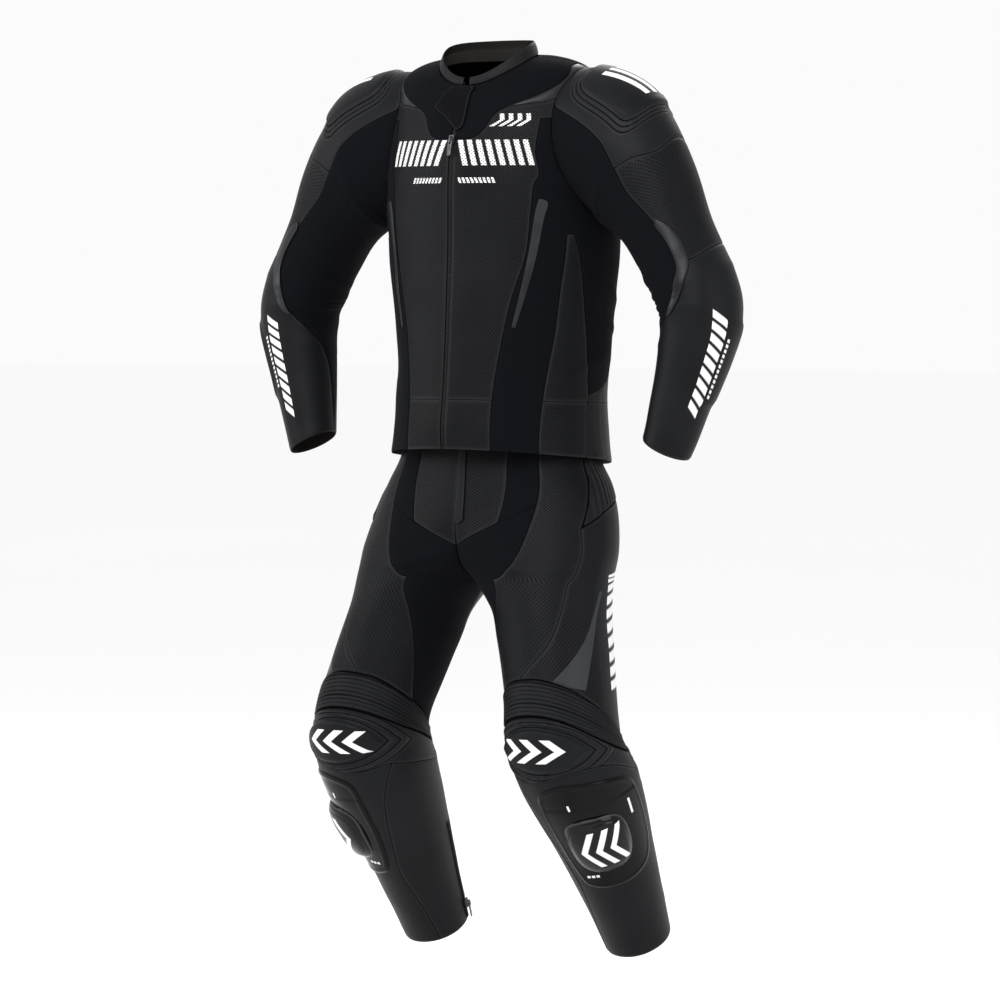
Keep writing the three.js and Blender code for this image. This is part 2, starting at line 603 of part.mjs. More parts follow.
// Trousers
const ribs = ({ direction, first, pitch, height }) => (row, angle) => {
  const place = (direction === 'around' ? row : angle) - first;
  return height * (1 - Math.abs(2 * ((((place / pitch) % 1) + 1) % 1) - 1));
};
const hipRibs = ribs({ direction: 'along', first: anglePhase, pitch: 5, height: 2.5 });
const kneeCup = plateau({ row: 13.5, angle: 48, rowHalf: 0.72, angleHalf: 27, height: 8, edge: 0.45 });
// The knee's ribs follow its arched top edge, so their chart counts its rows from that arch.
const arch = { row: 11.28, angle: 46, halfAngle: 60, rise: 1.5 };
const kneeArch = (angle) => arch.row + arch.rise * ((angle - arch.angle) / arch.halfAngle) ** 2;
const kneeChart = {
  at: (row, angle) => onLeg(row + kneeArch(angle), angle),
  outward: (row, angle) => leg.outward(row + kneeArch(angle), angle),
};
const fromArch = (points) => points.map(([row, angle]) => [row - kneeArch(angle), angle]);
const kneeRibs = ribs({ direction: 'around', first: rowPhase, pitch: 0.13, height: 2.5 });
const kneeCells = { rowStep: 0.065, angleStep: 30 };
const kneeCupCells = { rowStep: 0.4, angleStep: 12 };
const hipCells = { angleStep: 2.5 };
const flyEdge = [[0.4, 0.2], [0.4, 5], [4.6, 5], [4.8, 2.5], [4.8, 0.2]];

addPair('trouser_rise', leg, outline([[0, 0]], seam('riseEdge'), seam('riseEnd')), leather, leatherSheet);
addPair('trouser_inner_stretch', leg, outline(
  seam('thighInner'), back(seam('kneeTopInner')), back(seam('seatInner', -180)), back(seam('riseEnd')),
  back(seam('riseEdge')),
), stretch, stretchSheet);
addPair('trouser_thigh_front', leg, outline(
  seam('hipFront'), seam('thighSeam'), back(seam('kneeTop')), back(seam('thighInner')),
), leather, leatherSheet);
addPair('trouser_hip_ribs', leg, outline(
  seam('hipBack'), back(seam('hipEnd')), back(seam('hipFront')),
), leather, { ...leatherSheet, relief: hipRibs, ...hipCells });
addPair('trouser_thigh_outer', leg, outline(
  seam('hipEnd'), seam('thighBack'), back(seam('kneeTopOuter')), back(seam('thighSeam')),
), leather, leatherSheet);
addPair('trouser_seat', leg, outline(
  seam('hipBack'), seam('thighBack'), seam('calfTop'), back(seam('seatInner')), [[0, 180]],
), leather, leatherSheet);
addPair('trouser_knee_ribs', kneeChart, fromArch(outline(
  seam('kneeTopInner'), seam('kneeTop'), seam('kneeTopOuter'), seam('kneeBack'), back(seam('kneeMid')),
)), leather, { ...leatherSheet, relief: kneeRibs, ...kneeCells });
addPair('trouser_knee', leg, outline(
  seam('kneeMid'), seam('kneeBackLow'), back(seam('kneeLow')), back(seam('kneeLowInner')),
  back(seam('kneeInnerLow', -180)),
), leather, { ...leatherSheet, relief: kneeCup, ...kneeCupCells });
addPair('trouser_shin', leg, outline(
  seam('kneeLow'), seam('shinOuter'), back(seam('shinInner')),
), leather, leatherSheet);
addPair('trouser_calf', leg, outline(
  seam('calfTop'), seam('kneeInner'), seam('kneeInnerLow'), seam('kneeLowInner', 180),
  seam('shinInner', 180), back(seam('shinOuter')), back(seam('kneeBackLow')), back(seam('kneeBack')),
), leather, leatherSheet);

add('trouser_fly', sheetGeometry(leg, flyEdge, { lift: flyLift, wall: zipWall }), zipTape);

// Knee sliders: a patch on the shin and a glossy puck fastened on it.
const patchLift = overlayLift;
const puckLift = patchLift + satinWall + overlayLift;
const shinCells = { rowStep: 0.65 };
const puckCells = { rowStep: 0.325, angleStep: 7.5 };
const puck = { row: 16.6, angle: 63, rowHalf: 0.92, angleHalf: 17, corners: 20, power: 4 };
const puckRise = { rim: 6, dome: 11, fall: 0.8 };
const puckOutline = Array.from({ length: puck.corners }, (_, k) => {
  const turn = (2 * Math.PI * k) / puck.corners;
  const rounded = (value) => Math.sign(value) * Math.abs(value) ** (2 / puck.power);
  const out = [puck.rowHalf * rounded(Math.cos(turn)), puck.angleHalf * rounded(Math.sin(turn))];
  return [puck.row + out[0], puck.angle + out[1]];
});
const puckDome = (row, angle) => {
  const far = Math.hypot((row - puck.row) / puck.rowHalf, (angle - puck.angle) / puck.angleHalf);
  return puckRise.dome * clamp(1 - far * far * puckRise.fall, 0, 1);
};
addPair('slider_patch', leg, outline(seam('sliderBase')), gloss, {
  lift: patchLift, wall: satinWall, ...shinCells,
});
addPair('slider_puck', leg, puckOutline, gloss, {
  lift: puckLift, wall: puckRise.rim, relief: puckDome, ...puckCells,
});

// Zips: a slider with a bridge, and a pull tab that hangs on the bridge by the bar above its window.
const slide = { width: 9, length: 13, height: 3.2 };
const bridge = { width: 2.2, length: 8.6, post: 1.8, arch: 2.9, beam: 1.4, sunk: 0.2, overlap: 0.01 };
const tab = { width: 7.5, length: 25, thick: 1.6, bar: 1.6, window: 3.4, windowLength: 6, corner: 1.6 };
const tabLowShare = 0.8;
const tabClearance = 0.7;

// A frame on a chart: down points along the zip towards its open end, out away from the cloth.
function zipFrame(chart, row, angle, rise, downSign) {
  const out = chart.outward(row, angle);
  const step = 0.05;
  const along = chart.at(row + step, angle).sub(chart.at(row - step, angle)).multiplyScalar(downSign);
  const side = along.clone().cross(out).normalize();
  const down = out.clone().cross(side).normalize();
  const place = chart.at(row, angle).addScaledVector(out, rise);
  return new THREE.Matrix4().makeBasis(side, down, out).setPosition(place);
}

const block = (width, length, height, y, z) => (
  solid(new THREE.BoxGeometry(width, length, height)).translate([0, y, z + height / 2])
);

function sliderGeometry() {
  const postY = (bridge.length - bridge.post) / 2;
  const postHeight = bridge.arch + bridge.sunk;
  const postFoot = slide.height - bridge.sunk;
  const beamFoot = slide.height + bridge.arch - bridge.overlap;
  return shape(block(slide.width, slide.length, slide.height, 0, 0)
    .add(block(bridge.width, bridge.post, postHeight, postY, postFoot))
    .add(block(bridge.width, bridge.post, postHeight, -postY, postFoot))
    .add(block(bridge.width, bridge.length, bridge.beam, 0, beamFoot)));
}

// The tab's hinge runs through the middle of its bar, at the tab's own origin.
function tabGeometry() {
  const half = tab.width / 2;
  const lowHalf = half * tabLowShare;
  const top = -tab.bar / 2;
  const low = top + tab.length;
  const face = new THREE.Shape();
  face.moveTo(-half, top);
  face.lineTo(half, top);
  face.lineTo(lowHalf, low - tab.corner);
  face.quadraticCurveTo(lowHalf, low, lowHalf - tab.corner, low);
  face.lineTo(tab.corner - lowHalf, low);
  face.quadraticCurveTo(-lowHalf, low, -lowHalf, low - tab.corner);
  const gap = new THREE.Path();
  const side = tab.window / 2;
  gap.moveTo(-side, top + tab.bar);
  gap.lineTo(-side, top + tab.bar + tab.windowLength);
  gap.lineTo(side, top + tab.bar + tab.windowLength);
  gap.lineTo(side, top + tab.bar);
  face.holes.push(gap);
  const options = { depth: tab.thick, bevelEnabled: false, curveSegments: 3 };
  const geometry = new THREE.ExtrudeGeometry(face, options);
  geometry.translate(0, 0, -tab.thick / 2);
  return shape(solid(geometry));
}

function addZipEnd(name, frame) {
  add(`${name}_slider`, sliderGeometry().applyMatrix4(frame), metal);
  const hinge = new THREE.Matrix4().makeTranslation(
    0,
    bridge.length / 2 - bridge.post - tab.bar / 2 - tabClearance,
    slide.height + bridge.arch / 2,
  );
  add(`${name}_pull`, tabGeometry().applyMatrix4(hinge).applyMatrix4(frame), metal);
}

const flip = new THREE.Matrix4().makeScale(-1, 1, 1);
const frontSlider = { row: 9.95, angle: 0 };
const ankleZip = { angle: 170, halfAngle: 1.7, topRow: 17.4, lowRow: 20.9, sliderRow: 20.3 };
addZipEnd('front_zip', zipFrame(torso, frontSlider.row, frontSlider.angle, trimGap, -1));
addPair('ankle_zip', leg, [
  [ankleZip.topRow, ankleZip.angle - ankleZip.halfAngle],
  [ankleZip.topRow, ankleZip.angle + ankleZip.halfAngle],
  [ankleZip.lowRow, ankleZip.angle + ankleZip.halfAngle],
  [ankleZip.lowRow, ankleZip.angle - ankleZip.halfAngle],
], zipTape, { lift: trimGap, wall: zipWall });
const ankleFrame = zipFrame(leg, ankleZip.sliderRow, ankleZip.angle, 2 * trimGap + zipWall, 1);
addZipEnd('ankle_zip_left', ankleFrame);
addZipEnd('ankle_zip_right', flip.clone().multiply(ankleFrame).multiply(flip));

export default group;
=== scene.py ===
"""Visual model of a two-piece motorcycle race suit, filled out as worn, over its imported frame.

Every panel is an outline drawn on a chart: torso, collar, neck tape, sleeve or leg. A chart gives a
point in space for a row number of its table of sections and an angle around the section in degrees.
Tables and wall sizes are in millimetres, as the suit was drafted, and meshes are written in metres.
"""

import logging
import math
from dataclasses import dataclass, replace
from enum import IntEnum
from functools import cache
from typing import Any, Callable

import bpy
import numpy as np
from mathutils import Matrix, Vector
from mathutils.geometry import delaunay_2d_cdt


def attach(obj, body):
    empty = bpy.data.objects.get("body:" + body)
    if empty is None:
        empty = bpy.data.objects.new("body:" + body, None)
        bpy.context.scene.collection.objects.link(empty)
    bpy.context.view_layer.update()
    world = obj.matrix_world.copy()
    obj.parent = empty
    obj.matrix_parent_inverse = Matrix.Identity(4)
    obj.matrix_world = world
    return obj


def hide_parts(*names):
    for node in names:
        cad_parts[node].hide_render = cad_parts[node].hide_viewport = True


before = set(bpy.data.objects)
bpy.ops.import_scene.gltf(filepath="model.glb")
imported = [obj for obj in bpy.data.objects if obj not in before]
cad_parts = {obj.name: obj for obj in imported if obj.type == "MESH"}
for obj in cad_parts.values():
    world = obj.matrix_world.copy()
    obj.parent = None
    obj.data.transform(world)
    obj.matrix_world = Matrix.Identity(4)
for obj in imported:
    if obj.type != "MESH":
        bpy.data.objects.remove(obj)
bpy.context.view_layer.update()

log = logging.getLogger("race_suit")
MM = 0.001
Array = np.ndarray
Relief = Callable[[Array, Array, Array], Array]


Table = dict[str, Array]


def table(names: str, lines: list[list[float]]) -> Table:
    """Turns lines of numbers into one named column each.

    Args:
        names: the columns' names, with spaces between.
        lines: one line for each row of the table.

    Returns:
        The columns by name.
    """
    return dict(zip(names.split(), np.array(lines, dtype=float).T))


def across(rows: Table, position: Array) -> Table:
    """Carries a table's columns smoothly between its rows, by the Catmull-Rom cubic.

    Args:
        rows: the table's columns.
        position: row numbers, whole or between, of any shape.

    Returns:
        Each column's values at the positions.
    """
    stack = np.stack(list(rows.values()))
    last = stack.shape[1] - 1
    place = np.clip(np.asarray(position, dtype=float), 0, last)
    index = np.minimum(np.floor(place).astype(int), last - 1)
    t = place - index
    ends = (2 * stack[:, :1] - stack[:, 1:2], stack, 2 * stack[:, -1:] - stack[:, -2:-1])
    padded = np.concatenate(ends, axis=1)
    a, b, c, d = (padded[:, index + k] for k in range(4))
    bend = 2 * a - 5 * b + 4 * c - d + t * (3 * b - a - 3 * c + d)
    return dict(zip(rows, b + 0.5 * t * (c - a + t * bend)))


def smooth(t: Array) -> Array:
    """Rises from 0 to 1 with flat ends, as 3t squared less 2t cubed, held outside 0 to 1."""
    held = np.clip(t, 0, 1)
    return held * held * (3 - 2 * held)


def near(angle: Array, middle: float | Array, whole: float) -> Array:
    """Brings angles within half a whole turn of a middle."""
    return angle - whole * np.round((angle - middle) / whole)


def unit(vectors: Array) -> Array:
    """Scales vectors to a length of one."""
    return vectors / np.maximum(np.linalg.norm(vectors, axis=-1, keepdims=True), 1e-9)


SECTION_NAMES = "z half_width centre_y front_depth back_depth front_rise back_rise"
TORSO_ROWS = table(SECTION_NAMES, [
    [-582, 176.6, 61, 168, 121, 14, -16],
    [-548, 170, 63, 172, 119, 10, -10],
    [-495, 165, 66, 171, 116, 5, -4],
    [-441, 166, 69, 170, 114, 0, 0],
    [-387, 172, 69, 166, 114, 0, 0],
    [-332, 181, 67, 161, 114, 0, 0],
    [-278, 188, 67, 158, 114, 0, 0],
    [-228, 191, 65, 155, 115, 0, 0],
    [-185, 191, 63, 152, 117, 0, 0],
    [-145, 190, 60, 147, 118, 0, 0],
    [-105, 188, 57, 138, 116, 0, 0],
    [-70, 184, 54, 124, 110, 0, 0],
    [-40, 177, 51, 109, 101, 0, 0],
    [-13, 169, 47, 98, 90, -20, 0],
    [5, 153, 41, 89.5, 82, -34, 0],
    [16, 130, 33, 80, 76, -43, 0],
    [21, 104, 24, 70.5, 72, -47, 2],
    [21, 80, 14, 60, 68, -46, 4],
])
COLLAR_ROWS = table(SECTION_NAMES, [
    [21.5, 79.8, 14, 59.8, 67.8, -46, 4],
    [31, 77, 14, 59, 67, -49, 5],
    [41, 73, 13, 56, 64, -53, 6],
])
SLEEVE_ROWS = table("x y z tilt outer_half front_half", [
    [172, 46, -107, 97, 116, 90],
    [214, 42, -117, 78, 112, 84],
    [248, 39, -150, 60, 98, 77],
    [279, 38, -193, 42, 81, 71],
    [304, 38, -236, 31, 68, 67],
    [331, 38, -284, 28, 63, 64],
    [352, 38, -320, 21, 62, 63],
    [364, 37, -352, 8, 62, 63],
    [365, 35, -384, -5, 59, 61],
    [358, 31, -420, -11, 54, 57],
    [348, 26, -460, -13, 49, 52],
    [337, 20, -502, -14, 44, 47],
    [328, 14, -540, -19, 40, 42],
    [321, 9, -565, -27, 38, 39],
])
LEG_ROWS = table("z centre_x half_width centre_y front_depth back_depth pitch", [
    [-505, 0, 150, 58, 112, 100, 0],
    [-545, 0, 156, 53, 112, 106, 0],
    [-586, 0, 167, 47, 113, 112, 0],
    [-622, 6, 181, 45, 116, 118, 0],
    [-657, 20, 181, 38, 113, 119, -1],
    [-690, 44, 166, 28, 107, 118, -2],
    [-722, 72, 143, 17, 101, 114, -3],
    [-750, 94, 120, 7, 97, 108, -4],
    [-768, 107, 107.2, 2, 95, 102, -5],
    [-812, 128, 89, -7, 94, 98, -8],
    [-862, 143, 86, -18, 93, 95, -12],
    [-912, 157, 84, -30, 91, 92, -14],
    [-955, 169, 83, -40, 90, 90, -12],
    [-990, 174, 84, -43, 92, 90, -4],
    [-1022, 178, 86, -32, 96, 91, 8],
    [-1057, 181, 85, -11, 95, 90, 18],
    [-1095, 183, 80, 15, 87, 86, 25],
    [-1139, 184, 73, 44, 77, 79, 29],
    [-1184, 184, 66, 72, 69, 71, 30],
    [-1229, 185, 60, 99, 62, 63, 31],
    [-1273, 185, 55, 125, 56, 57, 31],
    [-1310, 185, 51, 146, 51, 52, 31],
])

NECK_ROW, CUFF_ROW, ANKLE_ROW = (len(rows["z"]) - 1.0
                                 for rows in (TORSO_ROWS, SLEEVE_ROWS, LEG_ROWS))

FOLD_NAMES = "row angle row_reach angle_reach slant height"
TORSO_FOLDS = table(FOLD_NAMES, [
    [2.2, 64, 0.5, 22, 0.012, 2.5],
    [3.4, 100, 0.5, 26, -0.010, 3],
    [4.6, 150, 0.6, 34, 0.006, 3],
    [7.6, 52, 0.5, 14, -0.03, 3],
])
TORSO_CREASES = table(FOLD_NAMES, [
    [3.0, 84, 0.16, 20, 0.020, 1.5],
    [3.9, 118, 0.15, 24, -0.012, 1.6],
    [4.9, 104, 0.14, 22, -0.020, 1.3],
    [3.3, 165, 0.18, 40, 0.004, 1.7],
    [5.5, 168, 0.18, 36, -0.003, 1.3],
    [8.6, 56, 0.18, 12, -0.050, 1.6],
    [9.2, 128, 0.18, 14, 0.045, 1.6],
    [10.2, 130, 0.20, 14, 0.040, 1.4],
])
SLEEVE_FOLDS = table(FOLD_NAMES, [
    [1.9, 128, 0.30, 40, 0.004, 4],
    [5.3, 150, 0.32, 60, 0.003, 5],
    [6.1, 160, 0.30, 70, 0.000, 6],
    [6.9, 155, 0.32, 60, -0.003, 5],
    [8.0, 175, 0.35, 45, 0.002, 3],
])
SLEEVE_CREASES = table(FOLD_NAMES, [
    [1.4, 140, 0.10, 34, 0.006, 1.6],
    [2.4, 120, 0.12, 30, 0.008, 1.4],
    [5.7, 152, 0.10, 55, 0.002, 1.8],
    [6.5, 160, 0.10, 60, -0.001, 2.0],
    [7.4, 158, 0.12, 48, -0.003, 1.5],
    [4.4, 118, 0.14, 30, 0.006, 1.2],
    [9.1, 170, 0.16, 36, 0.004, 1.1],
    [5.9, 0, 0.16, 40, 0.004, 0.8],
])
LEG_FOLDS = table(FOLD_NAMES, [
    [6.6, 20, 0.28, 16, 0.030, 4],
    [8.6, 12, 0.30, 18, 0.020, 4],
    [9.4, 150, 0.40, 30, 0.010, 4],
    [13.0, 135, 0.28, 30, 0.004, 6],
    [14.0, 137, 0.26, 32, 0.000, 7],
    [15.0, 135, 0.28, 30, -0.004, 6],
    [18.6, 150, 0.40, 30, 0.010, 3],
])
LEG_CREASES = table(FOLD_NAMES, [
    [5.9, 26, 0.12, 12, 0.040, 1.5],
    [7.4, 16, 0.12, 14, 0.034, 1.7],
    [7.0, 150, 0.14, 24, -0.020, 1.6],
    [8.4, 140, 0.14, 26, -0.014, 1.5],
    [13.5, 136, 0.09, 30, 0.003, 2.2],
    [14.5, 136, 0.09, 30, -0.002, 2.2],
    [15.7, 132, 0.12, 26, -0.006, 1.5],
    [17.4, 140, 0.14, 26, 0.008, 1.2],
    [19.6, 120, 0.16, 30, -0.006, 1.0],
])
NO_FOLDS = table(FOLD_NAMES, [[0, 0, 1, 1, 0, 0]])


def fold_height(folds: Table, row: Array, angle: Array, sharpness: float) -> Array:
    """Adds up ridges, each falling off as e to minus its two reaches' powers.

    Args:
        folds: the ridges, one a row of the table.
        row: chart rows.
        angle: chart angles in degrees.
        sharpness: the power of the fall-off across a ridge, 2 for a soft fold.

    Returns:
        The height of all the ridges together, in millimetres.
    """
    total = np.zeros(np.broadcast(row, angle).shape)
    for k in range(len(folds["row"])):
        turn = angle - folds["angle"][k]
        sideways = turn / folds["angle_reach"][k]
        lengthways = (row - folds["row"][k] - folds["slant"][k] * turn) / folds["row_reach"][k]
        total += folds["height"][k] * np.exp(-sideways ** 2 - np.abs(lengthways) ** sharpness)
    return total


CREASE_SHARPNESS = 1.3
CREASE_DEPTH = 1.6
SOFTNESS = 0.55
WAVES, WAVE_COUNT = np.random.default_rng(11), 14
SHORTEST_WAVE, LONGEST_WAVE = 55, 150
WAVE_DIRECTIONS = unit(WAVES.normal(size=(WAVE_COUNT, 3)))
WAVE_VECTORS = WAVE_DIRECTIONS * (
    2 * np.pi / WAVES.uniform(SHORTEST_WAVE, LONGEST_WAVE, size=(WAVE_COUNT, 1)))
WAVE_STARTS = WAVES.uniform(0, 2 * np.pi, size=WAVE_COUNT)


def crease_height(creases: Table, row: Array, angle: Array) -> Array:
    """Adds up creases, which are sharper than folds and all deepened alike."""
    return CREASE_DEPTH * fold_height(creases, row, angle, CREASE_SHARPNESS)


def softness(points: Array) -> Array:
    """Gives soft leather's slight unevenness, a sum of long sine waves, alike left and right."""
    even = np.stack([np.abs(points[..., 0]), points[..., 1], points[..., 2]], axis=-1)
    waves = np.sin(even @ WAVE_VECTORS.T + WAVE_STARTS).sum(axis=-1)
    return SOFTNESS * waves / math.sqrt(WAVE_COUNT)


class Chart:
    """A surface given by a row number and an angle, with its outward direction."""

    turn = 1.0
    last_row = 1.0
    step = 0.02

    def at(self, row: Array, angle: Array) -> Array:
        """Returns the points at rows and angles, in millimetres."""
        raise NotImplementedError

    def own_outward(self, row: Array, angle: Array) -> Array:
        """Returns the cross product of the surface's directions, each a central difference.

        Args:
            row: Rows on the chart.
            angle: Angles in degrees.

        Returns:
            Directions, not yet of unit length.
        """
        around = self.at(row, angle + self.step) - self.at(row, angle - self.step)
        high = np.minimum(row + self.step, self.last_row)
        low = np.maximum(row - self.step, 0)
        return unit(np.cross(around, self.at(high, angle) - self.at(low, angle))) * self.turn

    def outward(self, row: Array, angle: Array) -> Array:
        """Returns the outward direction at rows and angles."""
        return self.own_outward(row, angle)


class TorsoChart(Chart):
    """Ellipses from the jacket's hem to its neck, front and back raised by a cosine's power."""

    axis_y = 60

    def __init__(self, rows: Table, folds: Table | None = None,
                 creases: Table | None = None) -> None:
        """Keeps the sections, with the folds and creases that lie on them."""
        self.rows, self.last_row = rows, len(rows["z"]) - 1.0
        self.folds, self.creases = folds or NO_FOLDS, creases or NO_FOLDS

    def at(self, row: Array, angle: Array) -> Array:
        """Returns the ellipse's points, moved out by folds, creases and softness.

        Args:
            row: Rows on the chart.
            angle: Angles in degrees.

        Returns:
            Points in millimetres, x, y and z last.
        """
        r = across(self.rows, row)
        c = np.cos(np.radians(angle))
        depth = np.where(c > 0, r["front_depth"], r["back_depth"])
        rise = r["front_rise"] * ((1 + c) / 2) ** 3 + r["back_rise"] * ((1 - c) / 2) ** 2
        wide = r["half_width"] * np.sin(np.radians(angle))
        points = np.stack([wide, r["centre_y"] - depth * c, r["z"] + rise], axis=-1)
        away = unit((points - np.array([0, self.axis_y, 0])) * np.array([1, 1, 0]))
        side = np.abs(near(angle, 0, 360))
        lift = fold_height(self.folds, row, side, 2) + softness(points)
        lift = lift + crease_height(self.creases, row, side)
        return points + away * lift[..., None]


ARMHOLE_MIDDLE, ARMHOLE_REACH, ARMHOLE_HALF_ANGLE = 10.5, 3.5, 40.0


def armhole_spot(around: Array) -> tuple[Array, Array]:
    """Returns the armhole's torso rows and angles at angles around the sleeve, along an ellipse."""
    turn = np.radians(around)
    return ARMHOLE_MIDDLE + ARMHOLE_REACH * np.cos(turn), 90 - ARMHOLE_HALF_ANGLE * np.sin(turn)


class SleeveChart(Chart):
    """Tilted ellipses from the armhole to the cuff, the first drawn onto the torso's armhole."""

    last_row = CUFF_ROW
    blend_rows = 1.6
    wall_rows = 0.8
    clear_row = 0.3
    fold_middle = 150

    def __init__(self, torso: TorsoChart) -> None:
        """Keeps the torso that the sleeve is sewn to."""
        self.torso = torso

    def at(self, row: Array, angle: Array) -> Array:
        """Returns the section's points, blended to the armhole near row 0.

        Args:
            row: Rows on the chart.
            angle: Angles in degrees.

        Returns:
            Points in millimetres, x, y and z last.
        """
        r = across(SLEEVE_ROWS, row)
        middle = np.stack([r["x"], r["y"], r["z"]], axis=-1)
        out = r["outer_half"] * np.cos(np.radians(angle))
        front = -r["front_half"] * np.sin(np.radians(angle))
        tilt = np.radians(r["tilt"])
        away = np.stack([out * np.cos(tilt), front, out * np.sin(tilt)], axis=-1)
        free = middle + away
        turn = near(angle, self.fold_middle, 360)
        lift = fold_height(SLEEVE_FOLDS, row, turn, 2) + softness(free)
        lift = lift + crease_height(SLEEVE_CREASES, row, turn)
        free = free + unit(away) * lift[..., None]
        hold = smooth(1 - row / self.blend_rows)[..., None]
        return free + (self.torso.at(*armhole_spot(angle)) - free) * hold

    def outward(self, row: Array, angle: Array) -> Array:
        """Returns the outward direction, which near the armhole turns to the torso's own."""
        own = self.own_outward(np.maximum(row, self.clear_row), angle)
        hold = smooth(1 - row / self.wall_rows)[..., None]
        return unit(own + (self.torso.outward(*armhole_spot(angle)) - own) * hold)


class LegChart(Chart):
    """Pitched ellipses from the waist to the ankle, cut at the middle plane above the crotch."""

    turn = -1.0
    last_row = ANKLE_ROW
    crotch_row = 8
    knee_row = 11
    thigh_folds, knee_folds = 90, 135

    def at(self, row: Array, angle: Array) -> Array:
        """Returns the section's points at angles from the inner front to the inner back.

        Args:
            row: Rows on the chart.
            angle: Angles in degrees.

        Returns:
            Points in millimetres, x, y and z last.
        """
        r = across(LEG_ROWS, row)
        sweep = np.arccos(np.clip(-r["centre_x"] / r["half_width"], -1, 1))
        turn = (angle - 90) / 90 * sweep
        depth = np.where(np.sin(turn) < 0, r["front_depth"], r["back_depth"])
        middle = np.where(row > self.knee_row, self.knee_folds, self.thigh_folds)
        folded = near(angle, middle, 180)
        lift = fold_height(LEG_FOLDS, row, folded, 2)
        lift = lift + crease_height(LEG_CREASES, row, folded)
        wide = np.maximum(0, r["centre_x"] + r["half_width"] * np.cos(turn))
        flat = np.stack([wide, r["centre_y"] + depth * np.sin(turn), r["z"]], axis=-1)
        along = (depth + lift + softness(flat)) * np.sin(turn)
        pitch = np.radians(r["pitch"])
        y, z = r["centre_y"] + along * np.cos(pitch), r["z"] + along * np.sin(pitch)
        return np.stack([wide, y, z], axis=-1)

    def outward(self, row: Array, angle: Array) -> Array:
        """Returns the outward direction, taken just beside the middle plane above the crotch."""
        held = np.where(row < self.crotch_row, np.clip(angle, 1, 179), angle)
        return self.own_outward(row, held)


TORSO = TorsoChart(TORSO_ROWS, TORSO_FOLDS, TORSO_CREASES)
COLLAR = TorsoChart(COLLAR_ROWS)
NECK_TAPE_ROWS = table(SECTION_NAMES, [
    [12, 76.2, 14, 56.0, 64.4, -46, 4],
    [29, 74.4, 14, 55.8, 61.6, -48.5, 5],
])
NECK_TAPE = TorsoChart(NECK_TAPE_ROWS)
SLEEVE = SleeveChart(TORSO)
LEG = LegChart()


class Meets(IntEnum):
    """Angles around the sleeve where the body's seams reach the armhole."""

    SHOULDER = -10
    ACCENT = 68
    SLEEVE_FRONT = 74
    CHEST = 84
    SLEEVE_BACK = 210
    BACK = 231


def armhole_point(meeting: Meets) -> list[float]:
    """Returns the torso spot where a seam reaches the armhole."""
    return [float(value) for value in armhole_spot(np.array(float(meeting)))]


Spots = list[list[float]]
TORSO_SEAMS: dict[str, Spots] = {
    "zip_low": [[0, 1.15], [9.95, 1.15]],
    "zip_high": [[9.95, 1.15], [17, 2.6]],
    "tape_low": [[0, 2], [9.95, 2]],
    "tape_high": [[9.95, 2], [17, 3]],
    "yoke_edge": [[9.95, 1.15], [10.15, 13], [11.05, 20], [11.35, 25]],
    "yoke_accent_top": [[11.35, 25], [12.0, 42], [12.9, 56], [13.8, 70], [14.45, 82],
                        [14.6, 97]],
    "yoke_accent_low": [[11.35, 25], [11.5, 35], [11.6, 45], armhole_point(Meets.ACCENT)],
    "yoke_back": [[14.6, 97], [13.7, 112], [13.0, 126], [12.6, 145], [12.5, 180]],
    "chest_edge": [[0, 25], [2, 27], [3.6, 30], [4.8, 33], [6, 38], [7.2, 39.5], [8.2, 41],
                   [8.7, 44], [9.5, 42], [10.82, 44]],
    "chest_top": [[10.82, 44], armhole_point(Meets.CHEST)],
    "insert_front": [[0, 49], [0.55, 50], [1.96, 53], [3.66, 57], [5.28, 57.5], [6.6, 58.5]],
    "insert_top": [[6.6, 58.5], [6.6, 62.5]],
    "insert_back": [[6.6, 62.5], [6, 66], [5.03, 71], [3.66, 77], [2.13, 81]],
    "insert_hip": [[2.13, 81], [0.9, 79], [0, 76]],
    "hip_top": [[2.13, 81], [2.68, 114]],
    "side_back": [[2.68, 114], [5, 115], [7, 118], armhole_point(Meets.BACK)],
    "side_accent_front": [[4.0, 34.2], [5.5, 38], [7.2, 41.5], [7.75, 43.5]],
    "side_accent_back": [[4.0, 36.5], [5.5, 42], [7.0, 46], [7.6, 48], [7.75, 45]],
    "throat_flap": [[10.3, 1.5], [10.6, 5], [12.1, 5.5], [15.5, 7], [15.9, 0], [15.2, -9],
                    [12.1, -11], [11.4, -14], [10.9, -6]],
}
SLEEVE_SEAMS: dict[str, Spots] = {
    "back_high": [[0, 210], [2.45, 221]],
    "back_mid": [[2.45, 221], [4, 226], [5.2, 227]],
    "back_low": [[5.2, 227], [7, 226], [9, 218], [11, 203], [12.3, 192.5]],
    "shoulder_end": [[2.45, -139], [2.5, -60], [2.54, 4], [2.61, 40], [2.35, 70], [2.2, 86]],
    "front_high": [[0, 74], [1, 77], [2.2, 86]],
    "front_mid": [[2.2, 86], [3.0, 88], [3.9, 78], [4.8, 68], [5.4, 70]],
    "front_low": [[5.4, 70], [6.1, 84], [7.0, 103], [7.9, 126], [9.3, 165], [10.3, 180],
                  [12.3, 192.5]],
    "elbow": [[5.2, -133], [5.05, -60], [5.12, -18], [5.3, 20], [5.45, 50], [5.4, 70]],
    "accent_outer": [[4.0, 72], [4.35, 60], [4.8, 53], [5.5, 56], [6.1, 72], [7.0, 94],
                     [7.5, 108]],
    "accent_inner": [[7.5, 115], [7.0, 105], [6.1, 88], [5.5, 74], [4.8, 71], [4.2, 76]],
}
